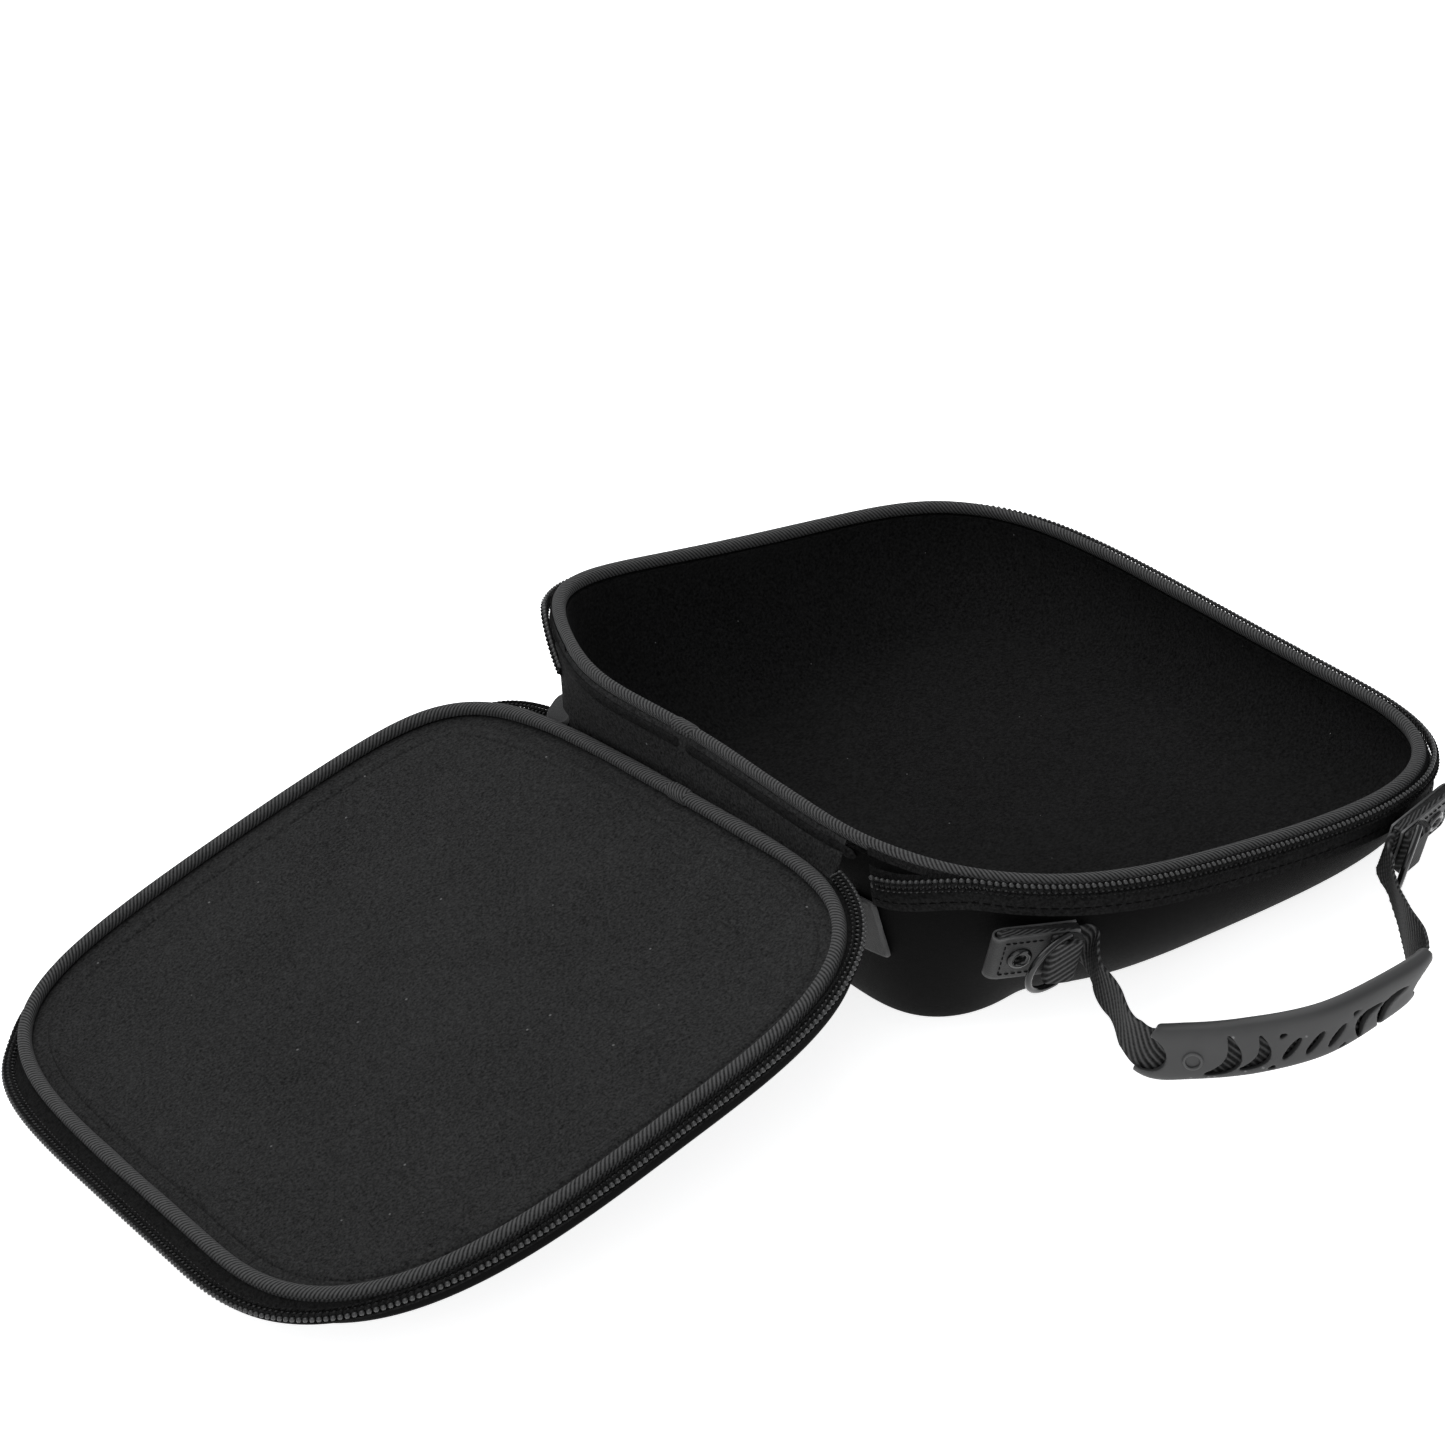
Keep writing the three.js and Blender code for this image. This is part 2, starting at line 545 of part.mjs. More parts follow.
function roundedPatch(length, height, endRound, otherRound, hand) {
  const [x, y] = [length / 2, height / 2];
  const shape = new THREE.Shape();
  shape.moveTo(-hand * (x - endRound), -y);
  shape.lineTo(hand * (x - otherRound), -y);
  shape.quadraticCurveTo(hand * x, -y, hand * x, -(y - otherRound));
  shape.lineTo(hand * x, y - otherRound);
  shape.quadraticCurveTo(hand * x, y, hand * (x - otherRound), y);
  shape.lineTo(-hand * (x - endRound), y);
  shape.quadraticCurveTo(-hand * x, y, -hand * x, y - endRound);
  shape.lineTo(-hand * x, -(y - endRound));
  shape.quadraticCurveTo(-hand * x, -y, -hand * (x - endRound), -y);
  return shape;
}

// One anchor in its own frame: x along the wall, y up it, z away from it.
function anchor(row) {
  const hand = row.side === "left" ? 1 : -1;
  const place = frontPlace(row);
  const group = new THREE.Group();
  group.matrixAutoUpdate = false;
  group.matrix.makeBasis(place.along, place.up, place.out).setPosition(place.origin);
  group.matrix.multiply(new THREE.Matrix4().makeRotationY(rad(row.swing)));
  group.matrix.multiply(new THREE.Matrix4().makeRotationX(rad(row.lean)));
  group.matrix.multiply(new THREE.Matrix4().makeRotationZ(rad(row.droop)));
  part.add(group);

  const patch = roundedPatch(ANCHOR_LENGTH, ANCHOR_HEIGHT, ANCHOR_ROUND.free, ANCHOR_ROUND.ring, hand);
  const slab = { depth: ANCHOR_THICK, bevelEnabled: false, curveSegments: 4 };
  addMesh(`anchor_${row.side}`, new THREE.ExtrudeGeometry(patch, slab), LEATHER, group);

  const face = ANCHOR_THICK + CLEARANCE;
  const profile = [
    [RIVET.inner, face],
    [RIVET.outer, face],
    [RIVET.outer - RIVET.bevel, face + RIVET.height],
    [RIVET.inner + RIVET.bevel, face + RIVET.height],
    [RIVET.inner, face],
  ].map(([r, z]) => new THREE.Vector2(r, z));
  const rivet = new THREE.LatheGeometry(profile, RIVET_SIDES);
  rivet.rotateX(Math.PI / 2);
  rivet.translate(-hand * ANCHOR_LENGTH * RIVET.at, 0, 0);
  addMesh(`anchor_rivet_${row.side}`, rivet, METAL, group);

  const barAt = hand * (ANCHOR_LENGTH / 2 - LOOP_LENGTH / 2);
  const barUp = face + LOOP_THICK / 2;
  const loop = roundedPatch(LOOP_LENGTH, LOOP_THICK, LOOP_ROUND, LOOP_ROUND, 1);
  loop.holes.push(new THREE.Path().absarc(0, 0, RING_WIRE + BAR_SLACK, 0, 2 * Math.PI, true));
  const LOOP_SOLID = { depth: ANCHOR_HEIGHT, bevelEnabled: false, curveSegments: 3 };
  const loopSolid = new THREE.ExtrudeGeometry(loop, LOOP_SOLID);
  loopSolid.translate(0, 0, -ANCHOR_HEIGHT / 2);
  loopSolid.rotateX(Math.PI / 2);
  loopSolid.translate(barAt, 0, barUp);
  addMesh(`ring_loop_${row.side}`, loopSolid, WEBBING, group);

  const half = ANCHOR_HEIGHT / 2 + CLEARANCE + RING_WIRE;
  const lift = rad(RING_LIFT);
  const toBow = vec(row.ringTo * hand * Math.cos(lift), 0, Math.sin(lift));
  const flat = vec(0, 1, 0).cross(toBow).normalize();
  const ringPoints = [];
  const BOW_STEPS = 12;
  for (let i = 0; i <= BOW_STEPS; i++) {
    const a = lerp(-Math.PI / 2, Math.PI / 2, i / BOW_STEPS);
    const reach = RING_REACH * Math.abs(Math.cos(a)) ** RING_FULLNESS;
    const point = vec(barAt, half * Math.sin(a), barUp).addScaledVector(toBow, reach);
    ringPoints.push(point);
  }
  ringPoints.push(vec(barAt, half / 3, barUp), vec(barAt, -half / 3, barUp));
  addMesh(`ring_${row.side}`, wireRing(ringPoints, RING_WIRE, flat), METAL, group);

  group.updateMatrixWorld(true);
  const world = (x, z) => vec(hand * x, 0, z).applyMatrix4(group.matrixWorld);
  const middle = ANCHOR_THICK / 2;
  return {
    exit: world(ANCHOR_LENGTH / 2 + CLEARANCE, middle),
    lead: world(ANCHOR_LENGTH / 2 + STRAP_LEAD.along, middle + STRAP_LEAD.out),
    up: vec(0, 1, 0).transformDirection(group.matrixWorld),
  };
}

const [leftAnchor, rightAnchor] = ANCHORS.map(anchor);

// The handle's middle line, with the direction of its width at each of its points.
const routePoint = ({ across, out, up }) =>
  vec(across * CASE_WIDTH, -CASE_LENGTH / 2 - out * HANDLE_REACH, up * GRIP_HEIGHT);
const stops = [
  { at: leftAnchor.exit, up: leftAnchor.up },
  { at: leftAnchor.lead, up: leftAnchor.up },
  ...HANDLE_ROUTE.map((row) => ({ at: routePoint(row), lean: row.lean })),
  { at: rightAnchor.lead, up: rightAnchor.up },
  { at: rightAnchor.exit, up: rightAnchor.up },
];
const line = new THREE.CatmullRomCurve3(stops.map((stop) => stop.at));
line.arcLengthDivisions = 400;
const HANDLE_LENGTH = line.getLength();

function stopUp(i) {
  const stop = stops[i];
  if (stop.up) return stop.up.clone();
  const run = stops[i + 1].at.clone().sub(stops[i - 1].at);
  const outward = run.cross(vec(0, 0, 1)).setZ(0).normalize();
  const lean = rad(stop.lean);
  return outward.multiplyScalar(Math.sin(lean)).add(vec(0, 0, Math.cos(lean)));
}

// A point of the handle: s along it, w across its width, n out from its face.
function onHandle(s, w, n) {
  const share = THREE.MathUtils.clamp(s / HANDLE_LENGTH, 0, 1);
  const t = line.getUtoTmapping(share);
  const along = line.getTangent(t);
  const at = t * (stops.length - 1);
  const i = Math.min(Math.floor(at), stops.length - 2);
  const up = stopUp(i).lerp(stopUp(i + 1), at - i);
  up.addScaledVector(along, -up.dot(along)).normalize();
  const out = along.clone().cross(up);
  const beyond = s - share * HANDLE_LENGTH;
  return line.getPoint(t).addScaledVector(along, beyond).addScaledVector(up, w).addScaledVector(out, n);
}

// Sweeps a section along the handle, with rows at the same places for every piece.
function handleSweep(from, to, section) {
  const rows = [];
  const row = (s) => rows.push(section((s - from) / (to - from)).map(([w, n]) => onHandle(s, w, n)));
  row(from);
  for (let s = Math.ceil((from + 0.5) / HANDLE_STEP) * HANDLE_STEP; s < to - 0.5; s += HANDLE_STEP) row(s);
  row(to);
  return skin(rows);
}

const STRAP_SECTION = boxSection(-STRAP_WIDTH / 2, STRAP_WIDTH / 2, -STRAP_THICK / 2, STRAP_THICK / 2);
addMesh("handle_strap", handleSweep(0, HANDLE_LENGTH, () => STRAP_SECTION), WEBBING);

const solid = (geometry) => {
  const plain = new THREE.BufferGeometry();
  plain.setAttribute("position", geometry.getAttribute("position"));
  plain.setIndex(geometry.index);
  const merged = mergeVertices(plain, 1e-4);
  return new wasm.Manifold(
    new wasm.Mesh({
      numProp: 3,
      vertProperties: merged.attributes.position.array,
      triVerts: new Uint32Array(merged.index.array),
    }),
  );
};

const meshOf = (made) => {
  const { numProp, numVert, vertProperties, triVerts } = made.getMesh();
  const positions = new Float32Array(numVert * 3);
  for (let i = 0; i < numVert; i++) {
    positions.set(vertProperties.subarray(i * numProp, i * numProp + 3), i * 3);
  }
  const geometry = new THREE.BufferGeometry();
  geometry.setAttribute("position", new THREE.BufferAttribute(positions, 3));
  geometry.setIndex(new THREE.BufferAttribute(triVerts, 1));
  geometry.computeVertexNormals();
  return geometry;
};

// Outline of one opening in the grip's face, in the face's own plane.
function windowOutline({ kind, long, wide }) {
  const [l, w] = [(long * GRIP_HEIGHT) / 2, (wide * GRIP_HEIGHT) / 2];
  if (kind === "notch") return [[-l, -w], [l, w], [-l, w]];
  const STEPS = 10;
  const around = Array.from({ length: STEPS }, (_, i) => (i / STEPS) * 2 * Math.PI);
  if (kind === "oval") return around.map((a) => [l * Math.cos(a), w * Math.sin(a)]);
  return around.map((a) => {
    const bend = w * CRESCENT_BEND * (1 - Math.cos(a) ** 2);
    return [l * Math.cos(a), w * Math.sin(a) - bend + w];
  });
}

function gripWindow(row, half, shift) {
  const middle = GRIP_FROM + GRIP_LENGTH / 2 + shift.along;
  const turn = rad(row.slant);
  const outline = windowOutline(row).map(([x, y]) => {
    const s = row.at * GRIP_HEIGHT + x * Math.cos(turn) - y * Math.sin(turn);
    const w = row.up * GRIP_HEIGHT + x * Math.sin(turn) + y * Math.cos(turn);
    return [half * s, half * w];
  });
  const level = (n) => outline.map(([s, w]) => onHandle(middle + s, w + shift.up, n));
  return solid(skin([level(0), level(GRIP_THICK)]));
}

function grip() {
  const section = (t) => {
    const end = Math.min(t, 1 - t) / GRIP_TAPER;
    const full = end < 1 ? lerp(GRIP_END.thick, 1, Math.sin((end * Math.PI) / 2)) : 1;
    const high = lerp(GRIP_END.high, 1, full);
    return Array.from({ length: GRIP_SIDES }, (_, i) => {
      const a = ((i + 0.5) / GRIP_SIDES) * 2 * Math.PI;
      const [c, s] = [Math.cos(a), Math.sin(a)];
      const w = (GRIP_HEIGHT / 2) * Math.sign(c) * Math.abs(c) ** GRIP_SQUARE.edge * high;
      return [w, (GRIP_THICK / 2) * Math.sign(s) * Math.abs(s) ** GRIP_SQUARE.face * full];
    });
  };
  const to = GRIP_FROM + GRIP_LENGTH;
  let made = solid(handleSweep(GRIP_FROM, to, section));
  const slot = boxSection(
    -STRAP_WIDTH / 2 - 2 * CLEARANCE,
    STRAP_WIDTH / 2 + 2 * CLEARANCE,
    -STRAP_THICK / 2 - 2 * CLEARANCE,
    STRAP_THICK / 2 + 2 * CLEARANCE,
  );
  made = made.subtract(solid(handleSweep(GRIP_FROM - HANDLE_STEP, to + HANDLE_STEP, () => slot)));
  for (const row of GRIP_WINDOWS) {
    for (const half of row.at === 0 ? [1] : [1, -1]) {
      made = made.subtract(gripWindow(row, half, WINDOWS_SHIFT));
    }
  }
  const end = -GRIP_LENGTH / 2 / GRIP_HEIGHT;
  const mouth = { kind: "oval", at: end, up: 0, long: 2 * MOUTH.deep, wide: MOUTH.high, slant: 0 };
  const centred = { along: 0, up: 0 };
  for (const half of [1, -1]) made = made.subtract(gripWindow(mouth, half, centred));
  return meshOf(made);
}

addMesh("handle_grip", grip(), RUBBER);

export default part;
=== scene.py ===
# %% [markdown]
# # A moulded carrying case, lying open
#
# The object is a travel case with a deep base, a shallow lid that lies open beside it, a zipper
# round both rims and a carrying handle on two rings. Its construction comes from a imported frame
# of plain solids at their real size. This lesson dresses that frame: every solid gets a finished
# piece with its true cloth, leatherette, nylon, rubber or metal, in the same place.

# %% Load the frame
import math

import bmesh
import bpy
import numpy as np
from mathutils import Matrix, Vector


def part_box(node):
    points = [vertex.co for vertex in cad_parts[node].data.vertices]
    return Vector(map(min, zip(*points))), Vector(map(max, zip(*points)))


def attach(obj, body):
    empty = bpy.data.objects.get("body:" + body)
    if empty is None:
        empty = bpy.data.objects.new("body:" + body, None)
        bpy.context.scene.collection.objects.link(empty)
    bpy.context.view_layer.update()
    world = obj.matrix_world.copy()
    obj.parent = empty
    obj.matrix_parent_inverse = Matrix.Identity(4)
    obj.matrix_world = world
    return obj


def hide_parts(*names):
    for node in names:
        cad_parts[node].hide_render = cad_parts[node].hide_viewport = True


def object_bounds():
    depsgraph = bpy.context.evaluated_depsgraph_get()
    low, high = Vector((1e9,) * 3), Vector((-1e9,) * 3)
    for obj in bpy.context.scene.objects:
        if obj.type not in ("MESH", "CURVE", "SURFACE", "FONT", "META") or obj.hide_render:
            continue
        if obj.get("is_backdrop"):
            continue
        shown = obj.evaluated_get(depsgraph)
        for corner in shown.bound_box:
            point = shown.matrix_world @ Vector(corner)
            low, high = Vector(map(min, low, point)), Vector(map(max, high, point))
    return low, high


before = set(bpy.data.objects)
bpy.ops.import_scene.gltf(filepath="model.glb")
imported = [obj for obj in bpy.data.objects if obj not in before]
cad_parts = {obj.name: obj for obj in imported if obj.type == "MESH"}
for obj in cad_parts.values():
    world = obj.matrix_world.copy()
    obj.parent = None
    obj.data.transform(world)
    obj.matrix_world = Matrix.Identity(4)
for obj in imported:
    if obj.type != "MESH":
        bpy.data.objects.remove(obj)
CAD_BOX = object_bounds()
MM = 0.001
print("frame:", len(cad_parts), "nodes, box", [[round(c, 4) for c in p] for p in CAD_BOX])

# %% [markdown]
# ## Camera
#
# The picture was taken with a long lens from above the front left of the lid, with the camera a
# little rolled. A camera is a matrix: its columns are the directions that point right, up and
# back, and its last column is where it stands. Typing the three directions in is clearer here
# than three Euler angles, because they came from fitting the case's two outlines.

# %% Place the camera
CAMERA_RIGHT = Vector((0.81516, -0.55864, -0.15308))
CAMERA_UP = Vector((0.39618, 0.34494, 0.85091))
CAMERA_BACK = Vector((-0.42255, -0.75428, 0.50251))
CAMERA_PLACE = Vector((-0.71075, -1.0709, 0.8047))
PHOTO_FOCAL_SHARE = 4000 / 1445  # focal length as a share of the picture's width

lens = bpy.data.cameras.new("studio_camera")
lens.sensor_width = 36
lens.lens = lens.sensor_width * PHOTO_FOCAL_SHARE
camera = bpy.data.objects.new("studio_camera", lens)
axes = Matrix((CAMERA_RIGHT, CAMERA_UP, CAMERA_BACK)).transposed()
camera.matrix_world = Matrix.Translation(CAMERA_PLACE) @ axes.to_4x4()
bpy.context.scene.collection.objects.link(camera)
bpy.context.scene.camera = camera
print("lens", round(lens.lens, 1), "mm")

# %% [markdown]
# ## Floor and light
#
# A black object shows its form only by what it reflects and by how its cloth scatters light at a
# glancing angle. So the room is plain and pale, with one broad softbox overhead, a second one
# behind for the rims, a weak one in front, and an even sky that keeps the walls readable.


# %% Build the studio
def softbox(name, place, target, size, power):
    light = bpy.data.lights.new(name, "AREA")
    light.shape = "DISK"
    light.size = size
    light.energy = power
    holder = bpy.data.objects.new(name, light)
    holder.location = place
    holder.rotation_euler = (Vector(target) - Vector(place)).to_track_quat("-Z", "Y").to_euler()
    bpy.context.scene.collection.objects.link(holder)
    return holder


LOOK_AT = (-0.12, -0.02, 0.03)
softbox("overhead_softbox", (-0.35, 0.35, 1.8), LOOK_AT, 2.2, 24)
softbox("back_softbox", (0.9, 1.6, 1.3), LOOK_AT, 1.5, 16)
softbox("front_softbox", (-1.3, -1.5, 0.9), LOOK_AT, 1.8, 9)

world = bpy.data.worlds.new("pale_room")
world.use_nodes = True
sky = world.node_tree.nodes["Background"].inputs
sky["Color"].default_value = (0.95, 0.97, 1, 1)
sky["Strength"].default_value = 0.55
bpy.context.scene.world = world
bpy.context.scene.view_settings.view_transform = "Standard"

FLOOR_HALF, FLOOR_LEVEL = 15, -0.0004  # metres
floor_mesh = bpy.data.meshes.new("floor")
corners = [(x * FLOOR_HALF, y * FLOOR_HALF, FLOOR_LEVEL)
           for x, y in ((-1, -1), (1, -1), (1, 1), (-1, 1))]
floor_mesh.from_pydata(corners, [], [(0, 1, 2, 3)])
floor = bpy.data.objects.new("floor", floor_mesh)
bpy.context.scene.collection.objects.link(floor)
floor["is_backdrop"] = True
print("studio: three softboxes, a pale sky and a floor")

# %% [markdown]
# ## Node helpers
#
# Cloth, leatherette and rubber share a few effects: a woven relief, yarn ribs, a fine speckle of
# fibres, pressed grain, and edges that wear paler. Each effect is one shader node group, built
# once, with named inputs. A material places a group with its own values and feeds what comes out
# into its shader. The two helpers below keep the wiring short enough to read.


# %% Wire nodes with short calls
def connect(tree, value, socket):
    if isinstance(value, (int, float, tuple)):
        socket.default_value = value
    elif value is not None:
        tree.links.new(value, socket)


def calc(tree, operation, a, b=None, c=None):
    node = tree.nodes.new("ShaderNodeMath")
    node.operation = operation
    for value, socket in zip((a, b, c), node.inputs):
        connect(tree, value, socket)
    return node.outputs[0]


def node_group(name, inputs, outputs):
    tree = bpy.data.node_groups.new(name, "ShaderNodeTree")
    for title, value in inputs.items():
        socket = tree.interface.new_socket(title, in_out="INPUT", socket_type="NodeSocketFloat")
        socket.default_value = value
    for title in outputs:
        tree.interface.new_socket(title, in_out="OUTPUT", socket_type="NodeSocketFloat")
    return tree, tree.nodes.new("NodeGroupInput").outputs, tree.nodes.new("NodeGroupOutput").inputs


def run_map(tree):
    """Millimetres along and across a piece, from the map that its mesh carries."""
    node = tree.nodes.new("ShaderNodeUVMap")
    node.uv_map = "run"
    parts = tree.nodes.new("ShaderNodeSeparateXYZ")
    tree.links.new(node.outputs[0], parts.inputs[0])
    return parts.outputs[0], parts.outputs[1]


def solid_noise(tree, per_metre, detail=2.0, rough=0.5):
    place = tree.nodes.new("ShaderNodeTexCoord")
    noise = tree.nodes.new("ShaderNodeTexNoise")
    tree.links.new(place.outputs["Object"], noise.inputs["Vector"])
    connect(tree, per_metre, noise.inputs["Scale"])
    connect(tree, detail, noise.inputs["Detail"])
    connect(tree, rough, noise.inputs["Roughness"])
    return noise.outputs["Fac"]


print("helpers: connect, calc, node_group, run_map, solid_noise")

# %% [markdown]
# ## The shared effects
#
# Weave: two sine waves at right angles, multiplied, lift each crossing of the yarns. Ribs: one
# wave, turned by an angle, for the binding's cross ribs and the webbing's twill. Both read the
# map called "run", which every mesh here carries in millimetres, so a yarn keeps its width on a
# strap, a rim or a flat panel. Speckle, grain and wear need no direction, so they use solid noise.


# %% Build the woven relief
def make_weave():
    tree, given, out = node_group("woven_relief", {"Yarn": 0.6, "Slub": 0.3}, ["Height"])
    along, across = run_map(tree)
    turn = calc(tree, "DIVIDE", 2 * math.pi, given["Yarn"])
    one = calc(tree, "SINE", calc(tree, "MULTIPLY", along, turn))
    two = calc(tree, "SINE", calc(tree, "MULTIPLY", across, turn))
    crossing = calc(tree, "MULTIPLY_ADD", calc(tree, "MULTIPLY", one, two), 0.5, 0.5)
    slub = calc(tree, "MULTIPLY", solid_noise(tree, 900.0), given["Slub"])
    connect(tree, calc(tree, "ADD", crossing, slub), out["Height"])
    return tree


WEAVE = make_weave()
print("effect group:", WEAVE.name)


# %% Build the ribs
def make_ribs():
    tree, given, out = node_group("yarn_ribs", {"Pitch": 1.0, "Slant": 0.0, "Sharp": 1.0}, ["Height"])
    along, across = run_map(tree)
    ahead = calc(tree, "MULTIPLY", along, calc(tree, "COSINE", given["Slant"]))
    aside = calc(tree, "MULTIPLY", across, calc(tree, "SINE", given["Slant"]))
    phase = calc(tree, "DIVIDE", calc(tree, "ADD", ahead, aside), given["Pitch"])
    wave = calc(tree, "SINE", calc(tree, "MULTIPLY", phase, 2 * math.pi))
    level = calc(tree, "MULTIPLY_ADD", wave, 0.5, 0.5)
    connect(tree, calc(tree, "POWER", level, given["Sharp"]), out["Height"])
    return tree


CONTRAST, CLOUDS = 2.8, 0.25  # of the fibre's speckle, and the share of broad clouds in it
LINT_CELLS = 75  # a metre


RIBS = make_ribs()
print("effect group:", RIBS.name)


# %% Build the speckle
def make_speckle():
    tree, given, out = node_group("fibre_speckle", {"Fine": 1800.0, "Lint": 0.03}, ["Fibre", "Lint"])
    fine = solid_noise(tree, given["Fine"], 3.0, 0.7)
    broad = solid_noise(tree, 22.0, 3.0, 0.6)
    crisp = calc(tree, "MULTIPLY_ADD", calc(tree, "SUBTRACT", fine, 0.5), CONTRAST, 0.5)
    mixed = calc(tree, "MULTIPLY_ADD", broad, CLOUDS, calc(tree, "MULTIPLY", crisp, 1 - CLOUDS))
    held = calc(tree, "MINIMUM", calc(tree, "MAXIMUM", mixed, 0.0), 1.0)
    connect(tree, held, out["Fibre"])
    place = tree.nodes.new("ShaderNodeTexCoord")
    dots = tree.nodes.new("ShaderNodeTexVoronoi")
    dots.inputs["Scale"].default_value = LINT_CELLS
    tree.links.new(place.outputs["Object"], dots.inputs["Vector"])
    speck = calc(tree, "LESS_THAN", dots.outputs["Distance"], given["Lint"])
    connect(tree, speck, out["Lint"])
    return tree


SPECKLE = make_speckle()
print("effect group:", SPECKLE.name)


# %% Build the pressed grain
def make_grain():
    tree, given, out = node_group("pressed_grain", {"Cell": 900.0}, ["Height"])
    place = tree.nodes.new("ShaderNodeTexCoord")
    cells = tree.nodes.new("ShaderNodeTexVoronoi")
    cells.feature = "DISTANCE_TO_EDGE"
    connect(tree, given["Cell"], cells.inputs["Scale"])
    tree.links.new(place.outputs["Object"], cells.inputs["Vector"])
    furrow = calc(tree, "MINIMUM", calc(tree, "MULTIPLY", cells.outputs["Distance"], 6.0), 1.0)
    pores = calc(tree, "MULTIPLY", solid_noise(tree, 2600.0), 0.4)
    connect(tree, calc(tree, "ADD", furrow, pores), out["Height"])
    return tree


GRAIN = make_grain()
print("effect group:", GRAIN.name)


# %% Build the edge wear
def make_wear():
    tree, given, out = node_group("edge_wear", {"Start": 0.52, "Reach": 0.06}, ["Worn"])
    shape = tree.nodes.new("ShaderNodeNewGeometry")
    past = calc(tree, "SUBTRACT", shape.outputs["Pointiness"], given["Start"])
    edge = calc(tree, "DIVIDE", past, given["Reach"])
    patchy = calc(tree, "MULTIPLY", edge, solid_noise(tree, 120.0, 3.0))
    limited = calc(tree, "MINIMUM", calc(tree, "MAXIMUM", patchy, 0.0), 1.0)
    connect(tree, limited, out["Worn"])
    return tree


WEAR = make_wear()
print("effect group:", WEAR.name)

# %% [markdown]
# ## Materials
#
# A finish starts as one Principled shader with its constants set on the sockets. Black cloth
# reflects very little, so the cloths have a low specular level, and only the binding has a trace
# of sheen. Colour runs between two tones by the speckle, a few pale lint specks sit on the
# lining, and a bump carries yarn, ribs or grain.


# %% Start a finish
class Finish:
    """One material: colour between two tones by a mask, and a stack of bumps."""

    def __init__(self, name, roughness, specular=0.5, sheen=0.0, metallic=0.0, coat=0.0):
        self.material = bpy.data.materials.new(name)
        self.material.use_nodes = True
        self.tree = self.material.node_tree
        self.shader = self.tree.nodes["Principled BSDF"]
        constants = {"Roughness": roughness, "Specular IOR Level": specular, "Sheen Weight": sheen,
                     "Sheen Roughness": 0.45, "Metallic": metallic, "Coat Weight": coat}
        for socket, value in constants.items():
            self.shader.inputs[socket].default_value = value
        self.normal = None

    def effect(self, group, **values):
        node = self.tree.nodes.new("ShaderNodeGroup")
        node.node_tree = group
        for title, value in values.items():
            node.inputs[title].default_value = value
        return node.outputs

    def tones(self, dark, light, mask):
        mix = self.tree.nodes.new("ShaderNodeMix")
        mix.data_type = "RGBA"
        connect(self.tree, mask, mix.inputs["Factor"])
        for socket, tone in (("A", dark), ("B", light)):
            entry = [s for s in mix.inputs if s.name == socket and s.type == "RGBA"][0]
            if isinstance(tone, tuple):
                entry.default_value = (*tone, 1)
            else:
                self.tree.links.new(tone, entry)
        colour = [s for s in mix.outputs if s.type == "RGBA"][0]
        self.tree.links.new(colour, self.shader.inputs["Base Color"])
        return colour

    def relief(self, height, depth_mm, strength=1.0):
        bump = self.tree.nodes.new("ShaderNodeBump")
        bump.inputs["Strength"].default_value = strength
        bump.inputs["Distance"].default_value = depth_mm * MM
        self.tree.links.new(height, bump.inputs["Height"])
        if self.normal:
            self.tree.links.new(self.normal, bump.inputs["Normal"])
        self.normal = bump.outputs[0]
        self.tree.links.new(self.normal, self.shader.inputs["Normal"])

    def uneven(self, low, high, mask):
        span = calc(self.tree, "MULTIPLY_ADD", mask, high - low, low)
        self.tree.links.new(span, self.shader.inputs["Roughness"])


def grey(level, warm=0.0):
    return (level * (1 + warm), level, level * (1 - warm))


print("a finish has effects, tones, reliefs and uneven gloss")


# %% Mix the cloths
def cloth(name, tones, yarn, depth, roughness, specular, fine, lint=0.0):
    """tones are dark and light, yarn and depth are in mm, fine is the speckle's scale."""
    made = Finish(name, roughness, specular)
    speckle = made.effect(SPECKLE, Fine=fine, Lint=lint)
    tone = made.tones(grey(tones[0]), grey(tones[1]), speckle["Fibre"])
    if lint:
        made.tones(tone, grey(0.16), calc(made.tree, "MULTIPLY", speckle["Lint"], 0.6))
    made.relief(made.effect(WEAVE, Yarn=yarn)["Height"], depth)
    made.relief(speckle["Fibre"], depth * 0.6)
    made.uneven(roughness - 0.08, roughness + 0.05, speckle["Fibre"])
    return made.material


SHELL = cloth("shell_cloth", (0.0002, 0.0024), 0.5, 0.05, 0.6, 0.03, fine=900.0)
LINING = cloth("lining_cloth", (0.001, 0.037), 0.45, 0.06, 0.9, 0.03, fine=1000.0, lint=0.035)
# The base's inside is the lining cloth again, in darker tones: painted shade inside the deep bowl.
INNER_LINING_PAINTED_SHADE = cloth("inner_lining_painted_shade", (0.0006, 0.014), 0.45, 0.06, 0.9, 0.03, fine=900.0, lint=0.02)
TAPE = cloth("zipper_tape", (0.0005, 0.018), 0.8, 0.14, 0.85, 0.04, fine=900.0)
THREAD = cloth("sewing_thread", (0.0004, 0.002), 0.4, 0.05, 0.7, 0.08, fine=1800.0)
print("cloths:", [made.name for made in (SHELL, LINING, INNER_LINING_PAINTED_SHADE, TAPE, THREAD)])

# %% [markdown]
# Binding and webbing are woven in ribs. Their colour follows the ribs' height as painted light and
# shade, lighter on each rib and darker between ribs, mixed with the fibre's own speckle, because a
# bump alone fades where the light is flat, and a real rib still shows there.

# %% Mix the ribbed cloths
# Painted light and shade: this share of a ribbed cloth's colour follows the ribs' height.
PAINTED_RIB_SHADE_SHARE = 0.7  # of a ribbed cloth's shade, and the fibre makes the rest
TWILL_PITCH, TWILL_SLANT = 2.2, 0.72  # of the strap's diagonal ribs, in mm and radians


